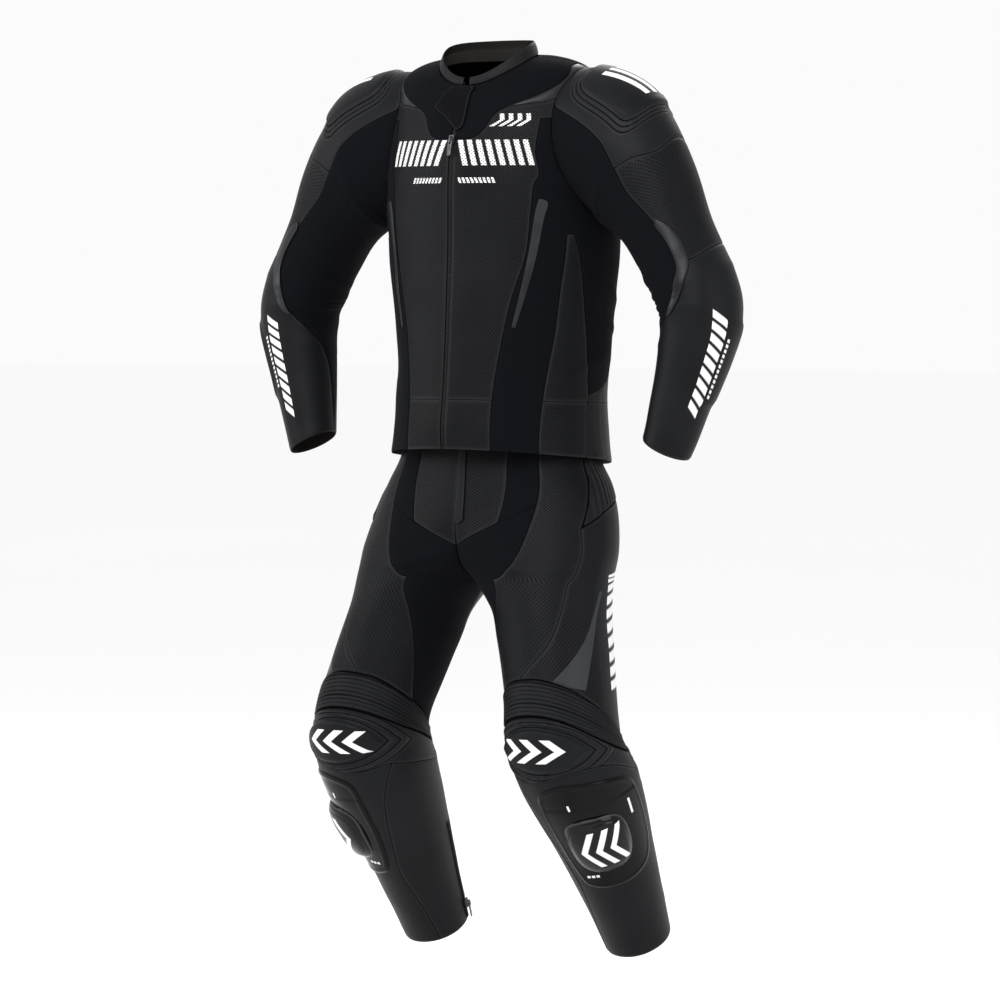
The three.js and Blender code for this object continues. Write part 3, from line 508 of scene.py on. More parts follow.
LEG_SEAMS: dict[str, Spots] = {
    "rise_edge": [[0, 30], [1.6, 29], [4.7, 22.5]],
    "rise_end": [[4.7, 22.5], [5.85, 0]],
    "thigh_inner": [[0, 48], [1.6, 47], [3.2, 43], [5, 38], [7.1, 36], [8.3, 36], [9.2, 26],
                    [10.4, 16], [11.95, 6]],
    "thigh_seam": [[4.9, 66], [6.5, 70], [8.34, 70], [10.03, 60], [11.33, 40]],
    "thigh_back": [[3.6, 114], [6, 118], [8, 122], [10, 116], [12, 106], [12.8, 104]],
    "hip_front": [[0, 82], [1.75, 80], [4.9, 66]],
    "hip_end": [[4.9, 66], [4.35, 80], [4.03, 89], [3.6, 114]],
    "hip_back": [[0, 114], [3.6, 114]],
    "seat_inner": [[8, 180], [9, 166], [10.5, 159], [12, 160], [12.9, 163]],
    "knee_top_inner": [[12.9, -17], [12.3, -5], [11.95, 6]],
    "knee_top": [[11.95, 6], [11.45, 28], [11.33, 40]],
    "knee_top_outer": [[11.33, 40], [11.3, 52], [11.5, 68], [12.1, 88], [12.8, 104]],
    "knee_mid": [[14.0, -17], [13.4, -5], [13.05, 8], [12.65, 28], [12.5, 50], [12.75, 68],
                 [13.4, 88], [14.0, 104]],
    "knee_low_inner": [[15.0, -17], [14.6, 0], [14.3, 18]],
    "knee_low": [[14.3, 18], [14.45, 40], [14.15, 65], [14.2, 85], [14.9, 104]],
    "knee_back": [[12.8, 104], [14.0, 104]],
    "knee_back_low": [[14.0, 104], [14.9, 104]],
    "knee_inner": [[12.9, 163], [14.0, 163]],
    "knee_inner_low": [[14.0, 163], [15.0, 163]],
    "calf_top": [[12.8, 104], [12.6, 120], [12.6, 145], [12.9, 163]],
    "shin_inner": [[14.3, 18], [15.5, 27], [17.2, 34], [18.2, 36], [19.6, 30], [21, 26]],
    "shin_outer": [[14.9, 104], [17, 112], [19, 112], [21, 108]],
    "slider_base": [[15.05, 39.4], [14.80, 42], [14.62, 50], [14.55, 62], [14.65, 82],
                    [14.85, 91], [15.4, 95], [17.0, 96], [17.8, 91], [18.1, 78], [18.15, 62],
                    [18.05, 48], [17.8, 42], [16.8, 38.4], [15.6, 38.6], [15.05, 39.4]],
}
FLY_CORNERS: Spots = [[0.4, 0.2], [0.4, 5], [4.6, 5], [4.8, 2.5], [4.8, 0.2]]
RIBBED_SEAMS = {"knee_top_inner", "knee_top", "knee_top_outer", "knee_mid"}


def path_lengths(points: Array) -> Array:
    """Returns the running length along a path, from 0 at its first point."""
    return np.concatenate([[0.0], np.cumsum(np.linalg.norm(np.diff(points, axis=0), axis=1))])


def back(points: Array) -> Array:
    """Returns points in the opposite order."""
    return points[::-1]


def flipped(points: Array) -> Array:
    """Returns points on the wearer's other side."""
    return points * np.array([-1, 1, 1])


@dataclass(frozen=True)
class Pattern:
    """The seams drawn on one chart, evenly divided along their length in space."""

    chart: Chart
    seams: dict[str, Spots]
    spacing: float = 4.5
    ribbed_spacing: float = 3.0
    fineness: int = 16
    same_spot: float = 0.004
    longest_step: float = 1.8

    def seam(self, name: str, shift: float = 0.0) -> Array:
        """Divides a seam's rounded curve into even steps.

        Args:
            name: the seam.
            shift: degrees to turn it around the section.

        Returns:
            The seam's spots, a row and an angle each.
        """
        spots = np.array(self.seams[name], dtype=float)
        columns = {"row": spots[:, 0], "angle": spots[:, 1]}
        places = np.linspace(0, len(spots) - 1, self.fineness * (len(spots) - 1) + 1)
        fine = across(columns, places)
        lengths = path_lengths(self.chart.at(fine["row"], fine["angle"]))
        spacing = self.ribbed_spacing if name in RIBBED_SEAMS else self.spacing
        count = max(2, round(lengths[-1] / spacing))
        even = across(columns, np.interp(np.linspace(0, lengths[-1], count + 1), lengths, places))
        return np.stack([even["row"], even["angle"] + shift], axis=-1)

    def joined(self, *stretches: str | Array | Spots) -> Array:
        """Joins stretches end to end.

        Args:
            stretches: spots, or a seam's name, with a minus before it to run it backwards and with
                a space and degrees after it to turn it around the section.

        Returns:
            The joined spots, a row and an angle each.
        """
        found = []
        for stretch in stretches:
            if isinstance(stretch, str):
                name, _, shift = stretch.partition(" ")
                spots = self.seam(name.removeprefix("-"), float(shift or 0))
                stretch = back(spots) if name.startswith("-") else spots
            found.append(np.asarray(stretch, dtype=float).reshape(-1, 2))
        return np.concatenate(found)

    def outline(self, *stretches: str | Array | Spots) -> Array:
        """Joins stretches into one closed outline, and divides its straight jumps."""
        spots = self.joined(*stretches)
        step = (spots - np.roll(spots, 1, axis=0)) / np.array([1, 10])
        spots = spots[np.linalg.norm(step, axis=1) > self.same_spot]
        points = self.chart.at(spots[:, 0], spots[:, 1])
        gaps = np.linalg.norm(np.roll(points, -1, axis=0) - points, axis=1)
        far_apart = gaps > self.longest_step * self.spacing
        counts = np.where(far_apart, np.ceil(gaps / self.spacing), 1).astype(int)
        start = np.repeat(spots, counts, axis=0)
        end = np.repeat(np.roll(spots, -1, axis=0), counts, axis=0)
        firsts = np.repeat(np.cumsum(counts) - counts, counts)
        share = ((np.arange(counts.sum()) - firsts) / np.repeat(counts, counts))[:, None]
        return start + (end - start) * share


ARMHOLE_STEP = 2


def armhole_angles(start: float, end: float) -> Array:
    """Returns angles around the sleeve on a common two-degree scale, with both ends.

    Args:
        start: First angle in degrees.
        end: Last angle in degrees.

    Returns:
        The angles.
    """
    low, high = sorted((float(start), float(end)))
    first = math.ceil((low + 0.5) / ARMHOLE_STEP) * ARMHOLE_STEP
    inner = np.arange(first, high - 0.4, float(ARMHOLE_STEP))
    angles = np.concatenate([[low], inner, [high]])
    return angles if start < end else angles[::-1]


def armhole_arc(start: float, end: float) -> Array:
    """Returns the armhole's torso spots between two angles around the sleeve."""
    return np.stack(armhole_spot(armhole_angles(start, end)), axis=-1)


def sleeve_head(start: float, end: float) -> Array:
    """Returns the sleeve's own spots along the armhole between two angles."""
    angles = armhole_angles(start, end)
    return np.stack([np.zeros(len(angles)), angles], axis=-1)


BATCH = 4000


def nearest_edge(points: Array, loop: Array) -> tuple[Array, Array]:
    """Measures points against a closed loop, by the foot of the perpendicular on each side.

    Args:
        points: the points, n by 2 or 3.
        loop: the loop's corners.

    Returns:
        Each point's distance from the loop, and the length along the loop to the nearest place.
    """
    sides = np.roll(loop, -1, axis=0) - loop
    squares = np.maximum((sides ** 2).sum(axis=1), 1e-12)
    starts = np.concatenate([[0], np.cumsum(np.sqrt(squares))])[:-1]
    distance, run = np.empty(len(points)), np.empty(len(points))
    for first in range(0, len(points), BATCH):
        part = points[first:first + BATCH]
        toward = part @ sides.T - (loop * sides).sum(axis=1)
        share = np.clip(toward / squares, 0, 1)
        square = ((part ** 2).sum(axis=1)[:, None] + (loop ** 2).sum(axis=1) - 2 * part @ loop.T
                  - 2 * share * toward + share ** 2 * squares)
        best = square.argmin(axis=1)
        rows = np.arange(len(part))
        distance[first:first + BATCH] = np.sqrt(np.maximum(square[rows, best], 0))
        run[first:first + BATCH] = starts[best] + share[rows, best] * np.sqrt(squares[best])
    return distance, run


def inside(points: Array, loop: Array) -> Array:
    """Tells which points are in a closed loop, by counting the sides that a line crosses.

    Args:
        points: Flat spots.
        loop: The loop's flat corners.

    Returns:
        True for each spot inside.
    """
    ends = np.roll(loop, -1, axis=0)
    found = np.empty(len(points), dtype=bool)
    rise = ends[:, 1] - loop[:, 1]
    slope = (ends[:, 0] - loop[:, 0]) / np.where(np.abs(rise) < 1e-12, 1e-12, rise)
    for first in range(0, len(points), BATCH):
        x, y = points[first:first + BATCH, :1], points[first:first + BATCH, 1:]
        spans = (loop[:, 1] > y) != (ends[:, 1] > y)
        crosses = spans & (x < loop[:, 0] + slope * (y - loop[:, 1]))
        found[first:first + BATCH] = crosses.sum(axis=1) % 2 == 1
    return found


INSIDE_ONLY, CLOSEST = 1, 1e-4


@dataclass(frozen=True)
class Sheet:
    """One cut panel: its outline on a chart, its wall and what shapes its outer face."""

    chart: Chart
    loop: Array
    wall: float
    lift: float | None = None
    relief: Relief | None = None
    row_spacing: float = 5.0
    angle_spacing: float = 5.0
    arch: Callable[[Array], Array] | None = None
    edge_depth: float = 1.1
    edge_width: float = 1.8
    rings: tuple[float, ...] = (1.2, 3.0, 6.0)
    ring_room: float = 0.85
    grid_room: float = 0.45

    def scales(self) -> tuple[float, float]:
        """Returns the mean millimetres a row and a degree over the outline."""
        row, angle = self.loop.T
        at = self.chart.at
        low, high = np.maximum(row - 0.1, 0), np.minimum(row + 0.1, self.chart.last_row)
        rows = np.linalg.norm(at(high, angle) - at(low, angle), axis=1) / (high - low)
        turns = np.linalg.norm(at(row, angle + 0.5) - at(row, angle - 0.5), axis=1)
        return float(rows.mean()), float(turns.mean())

    def to_plane(self, spots: Array, scales: tuple[float, float]) -> Array:
        """Lays chart spots on a plane in millimetres, angle across and row up, less any arch."""
        bend = self.arch(spots[:, 1]) if self.arch else 0.0
        return np.stack([spots[:, 1] * scales[1], (spots[:, 0] - bend) * scales[0]], axis=-1)

    def from_plane(self, plane: Array, scales: tuple[float, float]) -> Array:
        """Returns the chart spots of points on the plane."""
        angle = plane[:, 0] / scales[1]
        bend = self.arch(angle) if self.arch else 0.0
        return np.stack([plane[:, 1] / scales[0] + bend, angle], axis=-1)

    def filling(self, edge: Array) -> Array:
        """Lays rings of points inside the edge and a staggered grid inside the rings.

        Args:
            edge: the outline on the plane, in millimetres.

        Returns:
            The points inside, without the outline's own.
        """
        along = unit(np.roll(edge, -1, axis=0) - np.roll(edge, 1, axis=0))
        inward = np.stack([-along[:, 1], along[:, 0]], axis=-1)
        area = np.sum(edge[:, 0] * np.roll(edge[:, 1], -1) - edge[:, 1] * np.roll(edge[:, 0], -1))
        inward = inward * np.sign(area)
        groups = []
        for depth in self.rings:
            ring = edge + inward * depth
            kept = inside(ring, edge)
            ring = ring[kept]
            groups.append(ring[nearest_edge(ring, edge)[0] > self.ring_room * depth])
        low, high = edge.min(axis=0), edge.max(axis=0)
        across_line = np.arange(low[0], high[0], self.angle_spacing)
        up_line = np.arange(low[1], high[1], self.row_spacing)
        grid = np.stack(np.meshgrid(across_line, up_line), axis=-1)
        grid[1::2, :, 0] += self.angle_spacing / 2
        grid = grid.reshape(-1, 2)
        grid = grid[inside(grid, edge)]
        margin = self.rings[-1] + self.grid_room * min(self.row_spacing, self.angle_spacing)
        groups.append(grid[nearest_edge(grid, edge)[0] > margin])
        return np.concatenate(groups)

    def build(self) -> "Shell":
        """Fills the outline with triangles and raises it into a closed wall.

        Returns:
            The wall's points, faces and the values that its finish reads.
        """
        scales = self.scales()
        edge = self.to_plane(self.loop, scales)
        plane = np.concatenate([edge, self.filling(edge)])
        corners = [Vector(point) for point in plane.tolist()]
        found = delaunay_2d_cdt(corners, [], [list(range(len(edge)))], INSIDE_ONLY, CLOSEST)
        flat = np.array([tuple(point) for point in found[0]])
        faces = np.array(found[2], dtype=int)
        used, faces = np.unique(faces, return_inverse=True)
        flat, faces = flat[used], faces.reshape(-1, 3)
        spots = self.from_plane(flat, scales)
        row, angle = spots.T
        base = self.chart.at(row, angle)
        out = self.chart.outward(row, angle)
        a, b, c = (base[faces[:, k]] for k in range(3))
        facing = np.einsum("ij,ij->i", np.cross(b - a, c - a), out[faces[:, 0]]).sum()
        if facing < 0:
            faces = faces[:, ::-1]
        middle_area = float(np.linalg.norm(np.cross(b - a, c - a), axis=1).sum() / 2)
        distance, run = nearest_edge(base, self.chart.at(self.loop[:, 0], self.loop[:, 1]))
        raised = -self.edge_depth * np.exp(-(distance / self.edge_width) ** 2)
        if self.relief:
            raised = raised + self.relief(row, angle, distance)
        low = -self.wall if self.lift is None else self.lift
        high = low + self.wall
        top = base + out * (high + raised)[:, None]
        under = base + out * low
        count = len(base)
        p, q = np.concatenate([faces[:, [0, 1]], faces[:, [1, 2]], faces[:, [2, 0]]]).T
        unshared = ~np.isin(p * count + q, q * count + p)
        p, q = p[unshared], q[unshared]
        rim = np.concatenate([np.stack([p, p + count, q + count], 1),
                              np.stack([p, q + count, q], 1)])
        all_faces = np.concatenate([faces, faces[:, ::-1] + count, rim])
        inner = np.repeat([0.0, 1.0], count)
        extent = edge.max(axis=0) - edge.min(axis=0)
        return Shell(
            points=np.concatenate([top, under]) * MM,
            faces=all_faces,
            chart=np.column_stack([np.tile(spots, (2, 1)), inner]),
            stitch=np.column_stack([np.tile(distance, 2), np.tile(run, 2), np.tile(raised, 2)]),
            cut=np.column_stack([np.tile(flat, (2, 1)), inner]),
            flat=(float(extent[0]) * MM, float(extent[1]) * MM),
            area=middle_area * MM * MM,
        )


@dataclass(frozen=True)
class Shell:
    """A panel's mesh as arrays, with the values that its finish reads at each point."""

    points: Array
    faces: Array
    chart: Array
    stitch: Array
    cut: Array
    flat: tuple[float, float]
    area: float

    def mirrored(self) -> "Shell":
        """Returns the panel for the wearer's other side, its faces turned to point out again."""
        return replace(self, points=flipped(self.points), faces=self.faces[:, ::-1])


def add_object(name: str, data: bpy.types.ID) -> bpy.types.Object:
    """Puts a mesh, lamp or camera in the scene."""
    obj = bpy.data.objects.new(name, data)
    bpy.context.scene.collection.objects.link(obj)
    return obj


def mesh_object(name: str, points: Array, faces: Array, sharp: float = 50.0) -> bpy.types.Object:
    """Puts points and equal-sided faces into a new smooth-shaded object.

    Args:
        name: the object's name.
        points: the points in metres.
        faces: the faces' corner numbers, one face a row.
        sharp: the angle in degrees past which an edge stays sharp.

    Returns:
        The object, linked to the scene.
    """
    mesh = bpy.data.meshes.new(name)
    sides = faces.shape[1]
    mesh.vertices.add(len(points))
    mesh.vertices.foreach_set("co", points.astype(np.float32).ravel())
    mesh.loops.add(faces.size)
    mesh.loops.foreach_set("vertex_index", faces.astype(np.int32).ravel())
    mesh.polygons.add(len(faces))
    mesh.polygons.foreach_set("loop_start", np.arange(0, faces.size, sides, dtype=np.int32))
    mesh.polygons.foreach_set("use_smooth", np.ones(len(faces), dtype=bool))
    mesh.update(calc_edges=True)
    mesh.validate()
    mesh.set_sharp_from_angle(angle=math.radians(sharp))
    return add_object(name, mesh)


def put_attribute(obj: bpy.types.Object, name: str, values: Array) -> None:
    """Stores one vector for each point of an object's mesh."""
    layer = obj.data.attributes.new(name, "FLOAT_VECTOR", "POINT")
    layer.data.foreach_set("vector", values.astype(np.float32).ravel())


class Value:
    """A shader's number, from a socket, which takes Python's arithmetic as Math nodes."""

    def __init__(self, shader: "Shader", socket: bpy.types.NodeSocket) -> None:
        """Keeps the socket and the shader that it belongs to."""
        self.shader, self.socket = shader, socket

    def math(self, operation: str, *others: "Value | float") -> "Value":
        """Adds one Math node on this value and up to two others."""
        return self.shader.math(operation, self, *others)

    def __add__(self, other: "Value | float") -> "Value":
        """Adds."""
        return self.math("ADD", other)

    __radd__ = __add__

    def __mul__(self, other: "Value | float") -> "Value":
        """Multiplies."""
        return self.math("MULTIPLY", other)

    __rmul__ = __mul__

    def __sub__(self, other: "Value | float") -> "Value":
        """Takes away."""
        return self.math("SUBTRACT", other)

    def __rsub__(self, other: float) -> "Value":
        """Takes this value from a number."""
        return self.shader.math("SUBTRACT", other, self)

    def __truediv__(self, other: "Value | float") -> "Value":
        """Divides."""
        return self.math("DIVIDE", other)

    def __pow__(self, power: float) -> "Value":
        """Raises the value to a power."""
        return self.math("POWER", power)

    def __abs__(self) -> "Value":
        """Drops the sign."""
        return self.math("ABSOLUTE")

    def fraction(self) -> "Value":
        """Keeps what is past the whole number."""
        return self.math("FRACT")

    def lower(self, other: "Value | float") -> "Value":
        """Takes the lower of two."""
        return self.math("MINIMUM", other)

    def higher(self, other: "Value | float") -> "Value":
        """Takes the higher of two."""
        return self.math("MAXIMUM", other)

    def rise(self, low: float, high: float) -> "Value":
        """Rises smoothly from 0 at low to 1 at high, or falls where high is below low.

        Args:
            low: Where it starts.
            high: Where it ends.

        Returns:
            The smooth step.
        """
        if low > high:
            return 1 - self.rise(high, low)
        values = {"Value": self, "From Min": low, "From Max": high}
        settings = {"interpolation_type": "SMOOTHSTEP"}
        node = self.shader.node("ShaderNodeMapRange", settings, values)
        return Value(self.shader, node.outputs["Result"])

    def between(self, low: float, high: float, soft: float) -> "Value":
        """Is 1 between two bounds and falls to 0 over a soft edge outside them."""
        return self.rise(low - soft, low) * self.rise(high + soft, high)


Colour = tuple[float, float, float]
Paint = Colour | bpy.types.NodeSocket
# Near-black colour of the painted deep shade in holes, grooves and rib valleys.
DEEP_SHADE = (0.0010, 0.0010, 0.0011)


class Shader:
    """A material under construction."""

    def __init__(self, name: str) -> None:
        """Starts an empty material.

        Args:
            name: The material's name.
        """
        self.material = bpy.data.materials.new(name)
        self.material.use_nodes = True
        self.tree = self.material.node_tree
        self.tree.nodes.clear()

    def node(self, kind: str, settings: dict | None = None,
             values: dict | None = None) -> bpy.types.Node:
        """Adds a node, sets its settings, and gives its sockets numbers or links.

        Args:
            kind: the node's type.
            settings: the node's own settings, set first.
            values: numbers, colours, sockets or values by socket name or number.

        Returns:
            The node.
        """
        node = self.tree.nodes.new(kind)
        for key, value in (settings or {}).items():
            setattr(node, key, value)
        for key, value in (values or {}).items():
            link = value.socket if isinstance(value, Value) else value
            if isinstance(link, bpy.types.NodeSocket):
                self.tree.links.new(link, node.inputs[key])
            elif isinstance(link, tuple) and len(link) == 3 and node.inputs[key].type == "RGBA":
                node.inputs[key].default_value = (*link, 1.0)
            else:
                node.inputs[key].default_value = link
        return node

    def math(self, operation: str, *terms: Value | float) -> Value:
        """Adds one Math node on values and plain numbers."""
        node = self.node("ShaderNodeMath", {"operation": operation}, dict(enumerate(terms)))
        return Value(self, node.outputs[0])

    def attribute(self, name: str) -> tuple[Value, Value, Value]:
        """Reads the three numbers of a point's attribute."""
        source = self.node("ShaderNodeAttribute", {"attribute_name": name})
        parts = self.node("ShaderNodeSeparateXYZ", None, {"Vector": source.outputs["Vector"]})
        return tuple(Value(self, parts.outputs[k]) for k in range(3))

    def place(self) -> bpy.types.NodeSocket:
        """Returns the object's own coordinates."""
        return self.node("ShaderNodeTexCoord").outputs["Object"]

    def noise(self, scale: float, detail: float = 3.0, stretch: Colour = (1, 1, 1)) -> Value:
        """Returns soft noise from 0 to 1, so many features a metre."""
        moved = self.node("ShaderNodeMapping", None, {"Vector": self.place(), "Scale": stretch})
        values = {"Vector": moved.outputs[0], "Scale": scale, "Detail": detail}
        return Value(self, self.node("ShaderNodeTexNoise", None, values).outputs[0])

    def cells(self, scale: float) -> Value:
        """Returns the distance from the middle of leather-like cells."""
        values = {"Vector": self.place(), "Scale": scale}
        return Value(self, self.node("ShaderNodeTexVoronoi", None, values).outputs["Distance"])

    def mix(self, share: Value, first: Paint, second: Paint) -> bpy.types.NodeSocket:
        """Mixes two colours by a share of the second, through the node's colour sockets."""
        values = {0: share, 6: first, 7: second}
        return self.node("ShaderNodeMix", {"data_type": "RGBA"}, values).outputs[2]

    def surface(self, colour: Paint, roughness: Value | float, height: Value | None = None,
                depth: float = 0.0, gloss: float | None = None, shade: Value | None = None,
                plain: dict[str, float] | None = None) -> bpy.types.Material:
        """Ends the material in one Principled surface, with painted deep shade, near black, where
        holes and grooves are.

        Args:
            colour: the surface's colour.
            roughness: its roughness, varying or the same all over.
            height: the relief from 0 to 1, or none.
            depth: the relief's depth in metres.
            gloss: the specular level, or none to leave it.
            shade: where the surface is in deep shade, from 0 to 1.
            plain: what else is the same all over, by socket name.

        Returns:
            The material.
        """
        values = {**(plain or {}), "Base Color": colour, "Roughness": roughness}
        if gloss is not None:
            values["Specular IOR Level"] = gloss
        if height:
            relief = {"Height": height, "Distance": depth, "Strength": 1.0}
            values["Normal"] = self.node("ShaderNodeBump", None, relief).outputs["Normal"]
        surface = self.node("ShaderNodeBsdfPrincipled", None, values)
        if shade:
            black = self.node("ShaderNodeBsdfDiffuse", None, {"Color": DEEP_SHADE})
            layers = {0: shade, 1: surface.outputs[0], 2: black.outputs[0]}
            surface = self.node("ShaderNodeMixShader", None, layers)
        self.node("ShaderNodeOutputMaterial", None, {"Surface": surface.outputs[0]})
        return self.material


FAR_AWAY = 50.0
ROW_END_SOFTNESS, ANGLE_END_SOFTNESS = 0.05, 0.5


@dataclass(frozen=True)
class Bars:
    """White slanted bars in a box on a chart, repeated across the angle or along the rows."""

    rows: tuple[float, float]
    angles: tuple[float, float]
    count: float
    fill: float
    slant: float = 0.0
    along_rows: bool = False
    bend: float = 0.0
    soft: float = 0.02

    def mask(self, row: Value, angle: Value) -> Value:
        """Is 1 on the bars: the fraction of the slanted place is under the fill, within the box.

        Args:
            row: The chart's row.
            angle: The chart's angle in degrees.

        Returns:
            The mask.
        """
        up = (row - self.rows[0]) / (self.rows[1] - self.rows[0])
        side = (angle - self.angles[0]) / (self.angles[1] - self.angles[0])
        first, second = (up, side) if self.along_rows else (side, up)
        leaned = first + (second - 0.5) * self.slant + abs(second - 0.5) * self.bend
        soft = self.soft * self.count
        on = (leaned * self.count).fraction().between(soft, self.fill, soft)
        return on * leaned.between(0, 1, self.soft / 5) * second.between(0, 1, self.soft / 2)


@dataclass(frozen=True)
class DrawnSeam:
    """A stitched line in a panel: a row that slopes with the angle, or an angle where upright."""

    place: float
    ends: tuple[float, float]
    unit_length: float
    slope: float = 0.0
    upright: bool = False

    def distance(self, row: Value, angle: Value) -> Value:
        """Returns millimetres from the line, or far away outside its ends.

        Args:
            row: The chart's row.
            angle: The chart's angle in degrees.

        Returns:
            The distance.
        """
        along, across_line = (row, angle) if self.upright else (angle, row)
        softness = ROW_END_SOFTNESS if self.upright else ANGLE_END_SOFTNESS
        away = abs(across_line - self.place - along * self.slope) * self.unit_length
        return away + FAR_AWAY * (1 - along.between(*self.ends, softness))


@dataclass(frozen=True)
class Oval:
    """A superellipse on a chart, its sides drawn out to points where it has any point."""

    row: float
    angle: float
    row_half: float
    angle_half: float
    power: float = 3.0
    point: float = 0.0

    def far(self, row: "Array | Value", angle: "Array | Value") -> "Array | Value":
        """Measures how far out a spot is, 1 at the edge, as the root of the summed powers.

        Args:
            row: Rows on the chart.
            angle: Angles in degrees.

        Returns:
            The share of the way to the edge.
        """
        up = abs(row - self.row) / self.row_half
        side = abs(angle - self.angle) / self.angle_half
        rounded = ((up * (1 - self.point)) ** self.power + side ** self.power) ** (1 / self.power)
        return up * self.point + rounded

    def ring(self, count: int) -> Array:
        """Returns spots round the edge, as the cosine and sine raised to 2 over the power.

        Args:
            count: Number of spots.

        Returns:
            Rows and angles, one spot a line.
        """
        turn = np.linspace(0, 2 * np.pi, count, endpoint=False)
        waves = np.stack([np.cos(turn), np.sin(turn)], axis=-1)
        rounded = np.sign(waves) * np.abs(waves) ** (2 / self.power)
        halves = np.array([self.row_half, self.angle_half])
        return np.array([self.row, self.angle]) + halves * rounded


@dataclass(frozen=True)
class RoundSeam:
    """A groove stitched round a raised cup, at a share of the way out."""

    cup: Oval
    share: float
    unit_length: float = 32.0

    def distance(self, row: Value, angle: Value) -> Value:
        """Returns millimetres from the groove."""
        return abs(self.cup.far(row, angle) - self.share) * self.unit_length


LEATHER_WALL, STRETCH_WALL, SATIN_WALL, ZIP_WALL = 2.4, 1.8, 1.0, 1.6
WHITE = (0.62, 0.62, 0.61)
LINING = (0.012, 0.0105, 0.0095)
LINING_RISE = (0.3, 0.7)
# Lighter colour for a painted highlight on edges, rolls and rib crests; on edges it also stands for
# rubbed wear.
WEAR_AND_HIGHLIGHT = (0.016, 0.0165, 0.018)
# Painted highlight round a glossy rim.
RIM_HIGHLIGHT = (0.030, 0.031, 0.034)


@dataclass(frozen=True)
class Stitching:
    """Topstitching beside a panel's edges: a groove at the seam and dashes of thread."""

    inset: float = 3.2
    pitch: float = 3.4
    thread: float = 0.32

    def marks(self, edge: Value, run: Value) -> tuple[Value, Value]:
        """Returns where thread lies, and how deep the seam's groove is."""
        line = abs(edge - self.inset).rise(self.thread, self.thread * 0.4)
        dash = (run / self.pitch).fraction().between(0.14, 0.80, 0.08)
        return line * dash, edge.rise(0.9, 0.1)


@dataclass(frozen=True)
class Finish:
    """A material's name and colour, a slot name for the record and the wall it is cut from."""

    name: str
    colour: Colour
    slot: str = "leather"
    wall: float = LEATHER_WALL

    def tone(self, factor: float) -> Colour:
        """Returns the colour, lighter or darker by a factor."""
        return tuple(channel * factor for channel in self.colour)

    def build(self) -> bpy.types.Material:
        """Makes the material."""
        raise NotImplementedError


@cache
def material_of(finish: Finish) -> bpy.types.Material:
    """Makes a finish's material once, however many panels share it."""
    return finish.build()


@dataclass(frozen=True)
class SatinWedge:
    """The satin colour zone on the thigh, between a parabola and a straight line of the row."""

    colour: Colour = (0.022, 0.023, 0.025)
    top_row: float = 8.24
    rows: tuple[float, float] = (8.3, 11.42)
    hole_limit: tuple[float, float] = (86, 84)

    def mask(self, row: Value, angle: Value) -> Value:
        """Is 1 on the zone.

        Args:
            row: The chart's row.
            angle: The chart's angle in degrees.

        Returns:
            The mask.
        """
        down = row - self.top_row
        inner_edge = 88 - down * 2.8 - down * down * 2.2
        outer_edge = 90.5 - down * 4.7
        span = (angle - inner_edge).rise(-0.15, 0.15) * (outer_edge - angle).rise(-0.15, 0.15)
        return span * row.between(*self.rows, 0.02)


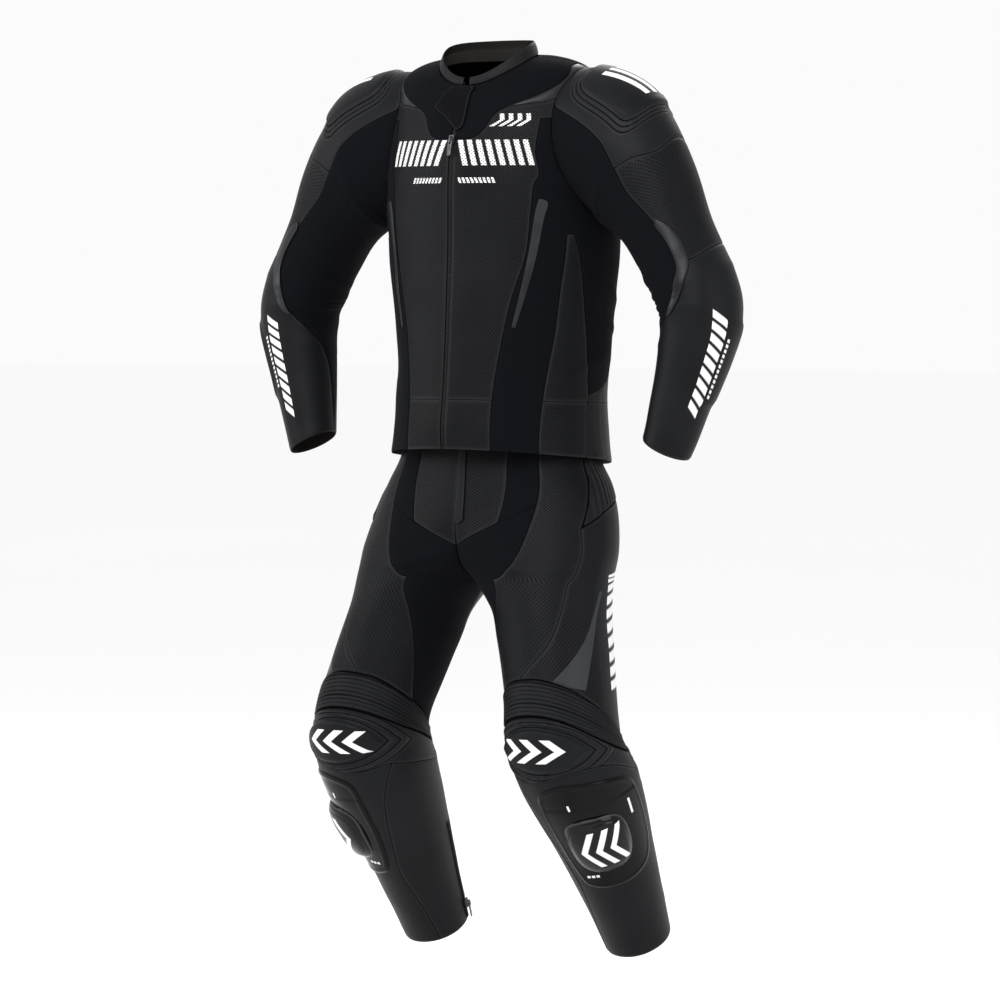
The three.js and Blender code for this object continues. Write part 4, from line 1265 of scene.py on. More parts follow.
@dataclass(frozen=True)
class Leather(Finish):
    """Black cowhide: grain in two sizes, edges with painted highlight and rubbed wear, thread,
    holes where it is perforated.
    """

    colour: Colour = (0.0036, 0.0039, 0.0047)
    thread: Colour = (0.011, 0.011, 0.0125)
    roughness: float = 0.45
    gloss: float = 0.085
    patch_scale: float = 7.0
    pore_scale: float = 420.0
    grain_scale: float = 1500.0
    prints: tuple[Bars, ...] = ()
    seams: tuple[DrawnSeam | RoundSeam, ...] = ()
    perforated: bool = False
    hole_pitch: float = 5.4
    hole_radius: float = 1.15
    hole_margin: tuple[float, float] = (5.0, 6.0)
    hole_angles: tuple[float, float] | None = None
    hole_first_row: float = 2.0
    wedge: SatinWedge | None = None
    rib_height: float = 0.0
    # Shares of the rib height: below the first pair rib valleys get painted shade, across the
    # second crests get a painted highlight.
    valley_shade: tuple[float, float] = (0.30, 0.78)
    crest_highlight: tuple[float, float] = (0.85, 0.98)

    def holes(self, across_cut: Value, up_cut: Value) -> Value:
        """Is 1 in the holes of two square lattices, the second set half a pitch aside.

        Args:
            across_cut: Millimetres across the cut.
            up_cut: Millimetres up the cut.

        Returns:
            The mask.
        """
        squares = []
        for offset in (0.0, 0.5):
            x, y = (((place / self.hole_pitch + offset).fraction() - 0.5) * self.hole_pitch
                    for place in (across_cut, up_cut))
            squares.append(x * x + y * y)
        nearest = squares[0].lower(squares[1])
        return nearest.rise(self.hole_radius ** 2, (0.55 * self.hole_radius) ** 2)

    def hole_zone(self, row: Value, angle: Value, edge: Value, wedge: Value | None) -> Value:
        """Is 1 where the leather is perforated, clear of its edges, wedge and plain parts.

        Args:
            row: The chart's row.
            angle: The chart's angle in degrees.
            edge: Millimetres in from the edge.
            wedge: The wedge's mask, if any.

        Returns:
            The mask.
        """
        zone = edge.rise(*self.hole_margin)
        if wedge:
            zone = zone * (1 - wedge) * angle.rise(*self.wedge.hole_limit)
        if self.hole_angles:
            first = self.hole_first_row
            zone = zone * angle.between(*self.hole_angles, 0.2) * row.rise(first, first + 0.05)
        return zone

    def build(self) -> bpy.types.Material:
        """Makes the material."""
        shader = Shader(self.name)
        row, angle, inner = shader.attribute("chart")
        edge, run, raised = shader.attribute("stitch")
        across_cut, up_cut, _ = shader.attribute("cut")
        outer = 1 - inner.rise(*LINING_RISE)
        patches = shader.noise(self.patch_scale, 4.0)
        grain = shader.cells(self.grain_scale)
        pores = shader.noise(self.pore_scale, 4.0)
        for line in self.seams:
            edge = edge.lower(line.distance(row, angle))
        thread, groove = Stitching().marks(edge, run)
        colour = shader.mix(patches.rise(0.25, 0.75), self.tone(0.78), self.tone(1.35))
        # Painted highlight, with some rubbed wear: a lighter band 1 to 2.2 mm in from edges, seams
        # and grooves.
        colour = shader.mix(edge.between(1.0, 2.2, 1.0) * 0.35, colour, WEAR_AND_HIGHLIGHT)
        roughness = self.roughness + (patches - 0.5) * 0.16 + (pores - 0.5) * 0.12
        height = grain * 0.25 + pores * 0.25 - groove * 0.9 + thread * 0.55
        # Painted deep shade in the seams' grooves.
        shade = groove * 0.85
        wedge = self.wedge.mask(row, angle) if self.wedge else None
        if wedge:
            colour = shader.mix(wedge, colour, self.wedge.colour)
            roughness = roughness - wedge * 0.12
        if self.perforated:
            holes = self.holes(across_cut, up_cut) * self.hole_zone(row, angle, edge, wedge)
            # The holes are painted in deep shade.
            shade = shade.higher(holes * 0.92)
            height = height - holes * 0.9
        if self.rib_height > 0:
            # Painted shade in the rib valleys and a painted highlight on the rib crests.
            low, high = (share * self.rib_height for share in self.valley_shade)
            shade = shade.higher(raised.rise(high, low) * 0.9)
            crest_highlight = raised.rise(*(share * self.rib_height for share in self.crest_highlight))
            colour = shader.mix(crest_highlight * 0.3, colour, WEAR_AND_HIGHLIGHT)
        colour = shader.mix(thread * 0.5, colour, self.thread)
        for bars in self.prints:
            on = bars.mask(row, angle) * outer
            colour = shader.mix(on, colour, WHITE)
            roughness = roughness + on * 0.05
        colour = shader.mix(1 - outer, colour, LINING)
        return shader.surface(colour, roughness, height, 0.0005, self.gloss, shade)


@dataclass(frozen=True)
class Stretch(Finish):
    """Black stretch cloth: fine ribs across and a soft matt surface."""

    colour: Colour = (0.0014, 0.0016, 0.0026)
    slot: str = "stretch"
    wall: float = STRETCH_WALL
    thread: Colour = (0.006, 0.006, 0.008)
    roughness: float = 0.86
    gloss: float = 0.05
    sheen: float = 0.004
    patch_scale: float = 9.0
    rib_pitch: float = 1.9
    wale_share: float = 0.6
    seams: tuple[DrawnSeam, ...] = ()

    def build(self) -> bpy.types.Material:
        """Makes the material."""
        shader = Shader(self.name)
        row, angle, inner = shader.attribute("chart")
        edge, run, _ = shader.attribute("stitch")
        across_cut, up_cut, _ = shader.attribute("cut")
        for line in self.seams:
            edge = edge.lower(line.distance(row, angle))
        thread, groove = Stitching().marks(edge, run)
        rib = abs((across_cut / self.rib_pitch).fraction() - 0.5) * 2
        wale = abs((up_cut / (self.wale_share * self.rib_pitch)).fraction() - 0.5) * 2
        weave = rib * 0.7 + wale * 0.3
        patches = shader.noise(self.patch_scale, 3.0)
        colour = shader.mix(weave * 0.6 + patches * 0.3, self.colour, self.tone(1.5))
        colour = shader.mix(thread * 0.5, colour, self.thread)
        colour = shader.mix(inner.rise(*LINING_RISE), colour, LINING)
        roughness = self.roughness + (patches - 0.5) * 0.1
        height = weave * 0.5 - groove * 0.9 + thread * 0.5
        # The seam grooves get painted deep shade.
        return shader.surface(colour, roughness, height, 0.0004, self.gloss, groove * 0.8,
                              {"Sheen Weight": self.sheen, "Sheen Roughness": 0.5})


@dataclass(frozen=True)
class Satin(Finish):
    """Satin grey accent leather with fine grain and stitched edges."""

    colour: Colour = (0.0105, 0.011, 0.0125)
    slot: str = "satin"
    wall: float = SATIN_WALL
    thread: Colour = (0.012, 0.012, 0.012)
    roughness: float = 0.33
    gloss: float = 0.13
    patch_scale: float = 16.0
    pore_scale: float = 500.0
    inset: float = 2.4

    def build(self) -> bpy.types.Material:
        """Makes the material."""
        shader = Shader(self.name)
        inner = shader.attribute("chart")[2]
        edge, run, _ = shader.attribute("stitch")
        thread, groove = Stitching(inset=self.inset).marks(edge, run)
        patches = shader.noise(self.patch_scale, 4.0)
        pores = shader.noise(self.pore_scale, 3.0)
        colour = shader.mix(patches.rise(0.32, 0.68), self.tone(0.55), self.tone(1.7))
        colour = shader.mix(thread * 0.6, colour, self.thread)
        colour = shader.mix(inner.rise(*LINING_RISE), colour, LINING)
        roughness = self.roughness + (patches - 0.5) * 0.12 + (pores - 0.5) * 0.1
        height = pores * 0.3 - groove * 0.8 + thread * 0.5
        # The seam grooves get painted deep shade.
        return shader.surface(colour, roughness, height, 0.0004, self.gloss, groove * 0.7)


@dataclass(frozen=True)
class Gloss(Finish):
    """Moulded black plastic: deep gloss with fine scuffs, white marks and a painted rim highlight
    where it has them.
    """

    colour: Colour = (0.0012, 0.0012, 0.0015)
    slot: str = "gloss"
    wall: float = SATIN_WALL
    roughness: float = 0.10
    gloss: float = 0.09
    scuff_scale: float = 120.0
    patch_scale: float = 14.0
    # Width in millimetres of a painted highlight round the rim; none at 0.
    rim: float = 0.0
    prints: tuple[Bars, ...] = ()

    def build(self) -> bpy.types.Material:
        """Makes the material."""
        shader = Shader(self.name)
        row, angle, inner = shader.attribute("chart")
        edge = shader.attribute("stitch")[0]
        scuffs = shader.noise(self.scuff_scale, 6.0, (1, 1, 6))
        patches = shader.noise(self.patch_scale, 2.0)
        colour = shader.mix(patches, self.colour, self.tone(1.8))
        roughness = self.roughness + scuffs.rise(0.5, 0.8) * 0.10 + patches * 0.03
        if self.rim > 0:
            # Painted highlight: a lighter, rougher band just inside the rim.
            on_rim_highlight = edge.between(0.5, self.rim, 0.3)
            colour = shader.mix(on_rim_highlight * 0.8, colour, RIM_HIGHLIGHT)
            roughness = roughness + on_rim_highlight * 0.2
        for bars in self.prints:
            on = bars.mask(row, angle) * (1 - inner.rise(*LINING_RISE))
            colour = shader.mix(on, colour, WHITE)
            roughness = roughness + on * 0.2
        return shader.surface(colour, roughness, scuffs, 0.00006, self.gloss)


@dataclass(frozen=True)
class Tape(Finish):
    """Woven zip tape in herringbone."""

    colour: Colour = (0.0022, 0.0022, 0.0025)
    slot: str = "zip_tape"
    wall: float = ZIP_WALL
    bone_width: float = 3.0
    twill_pitch: float = 1.1
    gloss: float = 0.25

    def build(self) -> bpy.types.Material:
        """Makes the material."""
        shader = Shader(self.name)
        across_cut, up_cut, _ = shader.attribute("cut")
        lean = abs((across_cut / self.bone_width).fraction() - 0.5) * self.bone_width
        twill = ((up_cut + lean) / self.twill_pitch).fraction()
        weave = abs(twill - 0.5) * 2
        colour = shader.mix(weave, self.colour, self.tone(2.2))
        return shader.surface(colour, 0.78 + weave * 0.1, weave, 0.0003, self.gloss)


@dataclass(frozen=True)
class Metal(Finish):
    """Dark coated zip metal, rubbed brighter in patches."""

    colour: Colour = (0.05, 0.05, 0.054)
    slot: str = "zip_metal"
    roughness: float = 0.32
    patch_scale: float = 260.0
    scratch_scale: float = 900.0

    def build(self) -> bpy.types.Material:
        """Makes the material."""
        shader = Shader(self.name)
        patches = shader.noise(self.patch_scale, 4.0)
        scratches = shader.noise(self.scratch_scale, 3.0, (1, 1, 5))
        colour = shader.mix(patches.rise(0.5, 0.8), self.colour, self.tone(3.2))
        roughness = self.roughness + (scratches - 0.5) * 0.2
        return shader.surface(colour, roughness, scratches, 0.00004, plain={"Metallic": 0.85})


@dataclass(frozen=True)
class Raised(Oval):
    """A raised cup with rounded corners, and welts stitched round it."""

    height: float = 0.0
    edge: float = 1.0
    welts: tuple[float, ...] = ()
    welt_height: float = 1.3
    welt_width: float = 0.035

    def __call__(self, row: Array, angle: Array, distance: Array) -> Array:
        """Rises smoothly inside the cup's edge, with a bell-shaped ridge at each welt.

        Args:
            row: Rows on the chart.
            angle: Angles in degrees.
            distance: Millimetres in from the edge.

        Returns:
            Height in millimetres.
        """
        far = self.far(row, angle)
        total = self.height * smooth((1 - far) / self.edge)
        for welt in self.welts:
            total = total + self.welt_height * np.exp(-((far - welt) / self.welt_width) ** 2)
        return total


def rounded_ribs(place: Array) -> Array:
    """Gives a rib from each whole number to the next, as a half sine's square root."""
    return np.sqrt(np.abs(np.sin(np.pi * place)))


def knee_arch(angle: Array) -> Array:
    """Gives the row of the knee ribs' arched top edge, a parabola of the angle."""
    return 11.28 + 1.5 * ((angle - 46) / 60) ** 2


@dataclass(frozen=True)
class KneeRibs:
    """Accordion ribs that follow the knee's arch, each a rounded ridge."""

    first: float = 0.137
    pitch: float = 0.13
    height: float = 2.5
    fade: float = 4.0

    def __call__(self, row: Array, angle: Array, distance: Array) -> Array:
        """Raises the ribs at even rows below the arch, fading near the seams."""
        place = (row - knee_arch(angle) - self.first) / self.pitch
        return self.height * rounded_ribs(place) * smooth(distance / self.fade)


@dataclass(frozen=True)
class HipRibs:
    """Upright ribs on the hip, which end where the plain side begins."""

    first: float = 7.5
    pitch: float = 5.0
    height: float = 2.5
    last_angle: float = 92.0
    fade: float = 5.0
    kept: float = 0.35

    def __call__(self, row: Array, angle: Array, distance: Array) -> Array:
        """Raises the ribs at even angles, fading near the seams and past the last."""
        rib = rounded_ribs((angle - self.first) / self.pitch)
        share = self.kept + (1 - self.kept) * smooth((self.last_angle - angle) / 3)
        return self.height * rib * share * smooth(distance / self.fade)


@dataclass(frozen=True)
class Pleats:
    """A few upright ridges on the jacket's hips, at set angles up to a row."""

    angles: tuple[float, ...] = (84.0, 87.0, 90.0)
    last_row: float = 2.1
    height: float = 1.4
    width: float = 0.8
    fade: float = 4.0

    def __call__(self, row: Array, angle: Array, distance: Array) -> Array:
        """Adds a bell-shaped ridge at each angle, alike left and right.

        Args:
            row: Rows on the chart.
            angle: Angles in degrees.
            distance: Millimetres in from the edge.

        Returns:
            Height in millimetres.
        """
        side = np.abs(near(angle, 0, 360))
        total = sum(np.exp(-((side - middle) / self.width) ** 2) for middle in self.angles)
        ends = smooth((self.last_row - row) / 0.2) * smooth(distance / self.fade)
        return self.height * total * ends


NARROWEST = 0.0102
FULLEST_CUT, BAREST_CUT = 1.02, 0.35


def stated_width(shell: Shell) -> float:
    """Returns the cut's width, moved until the area is from a bare to a full share of the box."""
    width, length = shell.flat
    widest = shell.area / (BAREST_CUT * length)
    return max(min(max(width, FULLEST_CUT * shell.area / length), widest), NARROWEST)


class Suit:
    """Shared work of the suit's sub-assemblies: cutting panels and placing them."""

    body = "suit"
    pattern: Pattern

    def cut(self, loop: Array, finish: Finish, **shape: Any) -> Shell:
        """Builds a panel on the pattern's chart in its finish's wall.

        Args:
            loop: the panel's outline.
            finish: its finish, which gives the wall.
            shape: any other sizes of a Sheet, or another chart or wall.

        Returns:
            The panel's mesh.
        """
        usual = {"chart": self.pattern.chart, "wall": finish.wall}
        return Sheet(loop=loop, **{**usual, **shape}).build()

    def place(self, name: str, shell: Shell, finish: Finish, node: str | None = None,
              rests_on: tuple[str, ...] = (), cloth: bool = True) -> None:
        """Puts a panel in the scene in place of its node.

        Args:
            name: the new object's name.
            shell: the panel's mesh.
            finish: its finish, which gives the material.
            node: the node that it stands for, or none.
            rests_on: the nodes or pieces that carry it; not used.
            cloth: whether it is a sheet; not used.
        """
        obj = mesh_object(name, shell.points, shell.faces)
        put_attribute(obj, "chart", shell.chart)
        put_attribute(obj, "stitch", shell.stitch)
        put_attribute(obj, "cut", shell.cut)
        obj.data.materials.append(material_of(finish))
        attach(obj, self.body)
        if node:
            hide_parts(node)
        if cloth:
            flat = (stated_width(shell), shell.flat[1])
            list(rests_on)
        log.info("%s: %d faces, %.4f m2", name, len(shell.faces), shell.area)

    def pair(self, name: str, loop: Array, finish: Finish, right: Finish | None = None,
             cloth: bool = True, **shape: Any) -> None:
        """Puts a panel and its mirrored twin in place of their nodes.

        Args:
            name: both nodes' name, without their side.
            loop: the left panel's outline.
            finish: the finish of both, or of the left one.
            right: the right one's own finish, or none.
            cloth: whether they are sheets.
            shape: any other sizes of a Sheet.
        """
        shell = self.cut(loop, finish, **shape)
        sides = {"left": (shell, finish), "right": (shell.mirrored(), right or finish)}
        for side, (form, look) in sides.items():
            self.place(f"{name}_{side}_panel", form, look, f"{name}_{side}", cloth=cloth)


BAND_ROW, BAND_UNIT = 1.93, 53.0
HEM_BAND = DrawnSeam(place=BAND_ROW, ends=(2.2, 82.0), unit_length=BAND_UNIT)
BACK_SEAMS = (
    DrawnSeam(place=BAND_ROW, ends=(60.0, 300.0), unit_length=BAND_UNIT),
    *(DrawnSeam(place=180 - side * 31.0, ends=(BAND_ROW, 13.5), unit_length=3.0, slope=side * 0.6,
                upright=True) for side in (1, -1)),
)
INNER_DIAGONAL = DrawnSeam(place=5.82, ends=(20.0, 46.0), unit_length=34.0, slope=-0.0485)

CHEST_PRINTS = (
    Bars((9.0, 9.94), (4.5, 41.5), count=8, fill=0.56, slant=0.10),
    Bars((8.34, 8.54), (4.5, 23.0), count=9, fill=0.6, slant=0.06),
)
CHEST_MARK = Bars((10.5, 11.05), (23.0, 41.0), count=4, fill=0.5, slant=-0.25, bend=0.3)
SHOULDER_MARK = Bars((1.0, 1.62), (-12.0, 26.0), count=3, fill=0.55, slant=0.3)
LEFT_ARM_PRINTS = (
    Bars((7.45, 11.1), (20.0, 42.0), count=9, fill=0.66, slant=0.10, along_rows=True),
    Bars((8.3, 10.5), (9.0, 14.0), count=12, fill=0.6, slant=0.02, along_rows=True),
)
RIGHT_ARM_PRINTS = (
    Bars((7.7, 11.5), (72.0, 92.0), count=9, fill=0.66, slant=-0.10, along_rows=True),
    Bars((8.4, 10.4), (61.0, 66.0), count=12, fill=0.6, slant=0.02, along_rows=True),
)
THIGH_BARS = Bars((7.0, 11.1), (95.0, 108.0), count=10, fill=0.66, slant=0.08, along_rows=True)
KNEE_MARK = Bars((13.18, 13.82), (35.5, 68.0), count=3, fill=0.46, slant=0.1, bend=0.5)
PUCK_MARK = Bars((16.0, 17.15), (53.0, 73.0), count=3, fill=0.45, bend=-0.6)
PATCH_MARKS = (
    Bars((15.55, 16.1), (85.0, 86.6), count=1, fill=0.9),
    Bars((17.62, 17.70), (47.0, 56.0), count=3, fill=0.7),
    Bars((15.15, 15.32), (55.0, 56.2), count=1, fill=0.9),
)


def other_side(spots: Array, whole: float = 360.0) -> Array:
    """Returns torso spots on the wearer's other side, backwards, angles taken from a whole turn."""
    return back(spots) * np.array([1, -1]) + np.array([0, whole])


@dataclass
class Jacket(Suit):
    """The jacket's body: fronts, yokes, sides, back, collar, throat flap and zip tape."""

    pattern: Pattern = Pattern(TORSO, TORSO_SEAMS)
    collar_pattern: Pattern = Pattern(COLLAR, {}, spacing=3.0)
    overlay_lift: float = 0.6
    flap_lift: float = 0.9
    collar_ends: tuple[float, float] = (4.0, 356.0)
    yoke_corner: float = 97.0
    back_holes: tuple[float, float] = (158.0, 202.0)
    zip_recess: float = 2.7

    def build(self) -> None:
        """Builds every panel of the jacket's body."""
        self.build_fronts()
        self.build_sides()
        self.build_back()
        self.build_collar()
        self.build_zip()

    def build_fronts(self) -> None:
        """Builds the chests, the yokes and their accents."""
        outline = self.pattern.outline
        left, right = (
            Leather(f"perforated_chest_{side}", perforated=True, prints=prints, seams=(HEM_BAND,))
            for side, prints in (("left", (*CHEST_PRINTS, CHEST_MARK)), ("right", CHEST_PRINTS))
        )
        loop = outline("chest_edge", "chest_top", armhole_arc(Meets.CHEST, Meets.ACCENT),
                       "-yoke_accent_low", "-yoke_edge", "-zip_low")
        self.pair("jacket_chest", loop, left, right)
        corner = [[NECK_ROW, self.yoke_corner]]
        loop = outline("yoke_edge", "yoke_accent_top", corner, "-zip_high")
        self.pair("jacket_yoke", loop, Stretch("yoke_stretch"))
        loop = outline("yoke_accent_low", armhole_arc(Meets.ACCENT, Meets.SHOULDER),
                       "-yoke_accent_top")
        self.pair("jacket_yoke_accent", loop, Satin("yoke_satin", wall=LEATHER_WALL))

    def build_sides(self) -> None:
        """Builds the stretch sides, the perforated inserts and the side accents."""
        outline = self.pattern.outline
        loop = outline("chest_edge", "chest_top", armhole_arc(Meets.CHEST, Meets.BACK),
                       "-side_back", "-hip_top", "-insert_back", "-insert_top", "-insert_front")
        self.pair("jacket_side_stretch", loop, Stretch("side_stretch"))
        insert = Leather("perforated_side", perforated=True, seams=(HEM_BAND,))
        loop = outline("insert_front", "insert_top", "insert_back", "insert_hip")
        self.pair("jacket_side_insert", loop, insert)
        loop = outline("side_accent_front", "-side_accent_back")
        self.pair("jacket_side_accent", loop, Satin("side_satin"), lift=self.overlay_lift,
                  edge_depth=0.5)

    def build_back(self) -> None:
        """Builds the back, which takes in the lower hips, and the stretch yoke above it."""
        pattern = self.pattern
        half = pattern.joined("-insert_hip", "hip_top", "side_back",
                              armhole_arc(Meets.BACK, 360 + Meets.SHOULDER), "yoke_back")
        leather = Leather("back_leather", perforated=True, hole_angles=self.back_holes,
                          seams=BACK_SEAMS)
        shell = self.cut(pattern.outline(half, other_side(half)), leather, relief=Pleats())
        self.place("jacket_back_panel", shell, leather, "jacket_back")
        stretch = Stretch("back_yoke_stretch")
        loop = pattern.outline("yoke_back", other_side(pattern.seam("yoke_back")),
                               [[NECK_ROW, 360 - self.yoke_corner], [NECK_ROW, self.yoke_corner]])
        self.place("jacket_back_yoke_panel", self.cut(loop, stretch), stretch, "jacket_back_yoke")

    def collar_loop(self, last_row: float) -> Array:
        """Returns the outline of a band round the neck, from row 0 to a last row."""
        low, high = self.collar_ends
        angles = (low, 90.0, 180.0, 270.0, high)
        return self.collar_pattern.outline([[0, angle] for angle in angles],
                                           [[last_row, angle] for angle in reversed(angles)])

    def build_collar(self) -> None:
        """Builds the stand collar, its neck tape and the flap that covers the zip's top."""
        grid = dict(row_spacing=3.0, angle_spacing=4.0)
        collar = Leather("collar_leather", (0.0048, 0.0050, 0.0056), slot="collar_leather",
                         roughness=0.5)
        shell = self.cut(self.collar_loop(2), collar, chart=COLLAR, edge_width=1.4, **grid)
        self.place("jacket_collar_panel", shell, collar, "jacket_collar")
        tape = Tape("neck_tape", (0.007, 0.006, 0.005), slot="collar_leather", wall=SATIN_WALL)
        shell = self.cut(self.collar_loop(1), tape, chart=NECK_TAPE, edge_depth=0.3, **grid)
        self.place("jacket_neck_tape", shell, tape, rests_on=("jacket_collar_panel",))
        flap = Leather("flap_leather", (0.0017, 0.0018, 0.0026), roughness=0.75, gloss=0.04)
        loop = self.pattern.outline("throat_flap")
        shell = self.cut(loop, flap, lift=self.flap_lift, edge_depth=0.9)
        self.place("jacket_throat_flap_panel", shell, flap, "jacket_throat_flap",
                   rests_on=("jacket_yoke_left_panel",))

    def build_zip(self) -> None:
        """Builds the front zip's tape, sunk between the fronts."""
        half = self.pattern.joined("tape_low", "tape_high")
        tape = Tape("front_tape")
        shell = self.cut(self.pattern.outline(half, other_side(half, whole=0)), tape,
                         lift=-self.zip_recess - ZIP_WALL, edge_depth=0.0, rings=(1.5, 3.0))
        self.place("jacket_front_zip_tape", shell, tape, "jacket_front_zip")


@dataclass
class Sleeves(Suit):
    """Both sleeves: shoulders with their cups, upper arms, inner stretch, forearms and accents."""

    pattern: Pattern = Pattern(SLEEVE, SLEEVE_SEAMS)
    elbow_lift: float = 1.4
    cuff_row: float = 13.0
    cuff_angles: tuple[float, ...] = (192.5, 100.0, 0.0, -90.0, -167.5)
    shoulder_cup: Raised = Raised(1.3, 12, 0.62, 44, power=4.0, height=6, edge=0.15,
                                  welts=(1.015, 1.125), welt_height=2.0)
    shoulder_grooves: tuple[float, ...] = (0.96, 1.07, 1.18)
    groove_unit: float = 42.0
    wide_pitch: float = 6.0
    forearm_pad: Raised = Raised(9.2, 2, 1.6, 50, height=3, edge=0.08, welts=(1.02,),
                                 welt_height=0.9)

    def build(self) -> None:
        """Builds every panel of both sleeves."""
        outline = self.pattern.outline
        front, rear = Meets.SLEEVE_FRONT, Meets.SLEEVE_BACK
        grooves = tuple(RoundSeam(self.shoulder_cup, share, self.groove_unit)
                        for share in self.shoulder_grooves)
        shoulder = Leather("shoulder_leather", prints=(SHOULDER_MARK,), seams=grooves)
        loop = outline("back_high -360", "shoulder_end", "-front_high",
                       sleeve_head(front, rear - 360))
        self.pair("sleeve_shoulder", loop, shoulder, relief=self.shoulder_cup, row_spacing=2.6,
                  angle_spacing=3.2)
        upper = Leather("perforated_upper_arm", perforated=True, hole_pitch=self.wide_pitch)
        loop = outline("shoulder_end", "front_mid", "-elbow", "-back_mid -360")
        self.pair("sleeve_upper", loop, upper)
        loop = outline("front_high", "front_mid", "front_low", "-back_low", "-back_mid",
                       "-back_high", sleeve_head(rear, front))
        self.pair("sleeve_inner_stretch", loop, Stretch("inner_arm_stretch"))
        cuff = [[self.cuff_row, angle] for angle in self.cuff_angles]
        self.pair("sleeve_forearm", outline("elbow", "front_low", cuff, "-back_low -360"),
                  Leather("forearm_leather_left", prints=LEFT_ARM_PRINTS),
                  Leather("forearm_leather_right", prints=RIGHT_ARM_PRINTS),
                  relief=self.forearm_pad, row_spacing=4.0, angle_spacing=4.0)
        loop = outline("accent_outer", "accent_inner")
        self.pair("sleeve_elbow_accent", loop, Satin("elbow_satin"), lift=self.elbow_lift,
                  edge_depth=0.5, row_spacing=3.5, angle_spacing=3.5)


@dataclass
class Trousers(Suit):
    """The trousers: rise, inner stretch, thighs, hips, seat, knees, shins, calves and fly."""

    pattern: Pattern = Pattern(LEG, LEG_SEAMS)
    knee_cup: Raised = Raised(13.5, 48, 0.70, 30, power=2.2, point=0.35, height=8, edge=0.26,
                              welts=(1.11, 1.31), welt_height=2.8, welt_width=0.065)
    knee_grooves: tuple[float, ...] = (0.99, 1.21, 1.42)
    fly_lift: float = 0.9

    def build(self) -> None:
        """Builds every panel of the trousers."""
        self.build_rise()
        self.build_thighs()
        self.build_knees()
        self.build_shins()
        self.build_fly()

    def build_rise(self) -> None:
        """Builds the front rise, the inner stretch and the seat."""
        outline = self.pattern.outline
        loop = outline([[0, 0]], "rise_edge", "rise_end")
        self.pair("trouser_rise", loop, Leather("perforated_rise", perforated=True))
        loop = outline("thigh_inner", "-knee_top_inner", "-seat_inner -180", "-rise_end",
                       "-rise_edge")
        stretch = Stretch("inner_leg_stretch", seams=(INNER_DIAGONAL,))
        self.pair("trouser_inner_stretch", loop, stretch)
        loop = outline("hip_back", "thigh_back", "calf_top", "-seat_inner", [[0, 180]])
        self.pair("trouser_seat", loop, Leather("seat_leather"))

    def build_thighs(self) -> None:
        """Builds the front and outer thighs and the ribbed hips."""
        outline = self.pattern.outline
        loop = outline("hip_front", "thigh_seam", "-knee_top", "-thigh_inner")
        self.pair("trouser_thigh_front", loop, Leather("perforated_thigh", perforated=True))
        ribs = HipRibs()
        hip = Leather("ribbed_hip", roughness=0.52, rib_height=ribs.height, valley_shade=(0.05, 0.30))
        loop = outline("hip_back", "-hip_end", "-hip_front")
        self.pair("trouser_hip_ribs", loop, hip, relief=ribs, row_spacing=5.0, angle_spacing=1.8)
        outer = Leather("outer_thigh", perforated=True, wedge=SatinWedge(), prints=(THIGH_BARS,))
        loop = outline("hip_end", "thigh_back", "-knee_top_outer", "-thigh_seam")
        self.pair("trouser_thigh_outer", loop, outer)

    def build_knees(self) -> None:
        """Builds the ribbed knees and the cups below them."""
        outline = self.pattern.outline
        ribs = KneeRibs()
        ribbed = Leather("ribbed_knee", roughness=0.5, rib_height=ribs.height)
        loop = outline("knee_top_inner", "knee_top", "knee_top_outer", "knee_back", "-knee_mid")
        self.pair("trouser_knee_ribs", loop, ribbed, relief=ribs, arch=knee_arch, row_spacing=1.0,
                  angle_spacing=4.0, rings=(1.2, 2.6))
        grooves = tuple(RoundSeam(self.knee_cup, share) for share in self.knee_grooves)
        cup = Leather("knee_leather", prints=(KNEE_MARK,), seams=grooves)
        loop = outline("knee_mid", "knee_back_low", "-knee_low", "-knee_low_inner",
                       "-knee_inner_low -180")
        self.pair("trouser_knee", loop, cup, relief=self.knee_cup, row_spacing=1.5,
                  angle_spacing=1.8)

    def build_shins(self) -> None:
        """Builds the shins and the calves."""
        outline = self.pattern.outline
        plain = Leather("shin_leather")
        hem = [[ANKLE_ROW, 80], [ANKLE_ROW, 50]]
        loop = outline("knee_low", "shin_outer", hem, "-shin_inner")
        self.pair("trouser_shin", loop, plain)
        hem = [[ANKLE_ROW, 170], [ANKLE_ROW, 140]]
        loop = outline("calf_top", "knee_inner", "knee_inner_low", "knee_low_inner 180",
                       "shin_inner 180", hem, "-shin_outer", "-knee_back_low", "-knee_back")
        self.pair("trouser_calf", loop, plain)

    def build_fly(self) -> None:
        """Builds the fly's zip cover, on the left of the middle."""
        fly = Leather("fly_leather", slot="zip_tape", wall=ZIP_WALL, roughness=0.5)
        shell = self.cut(self.pattern.outline(FLY_CORNERS), fly, lift=self.fly_lift, edge_depth=0.7,
                         rings=(1.2, 3.0))
        self.place("trouser_fly_panel", shell, fly, "trouser_fly",
                   rests_on=("trouser_rise_left_panel",))


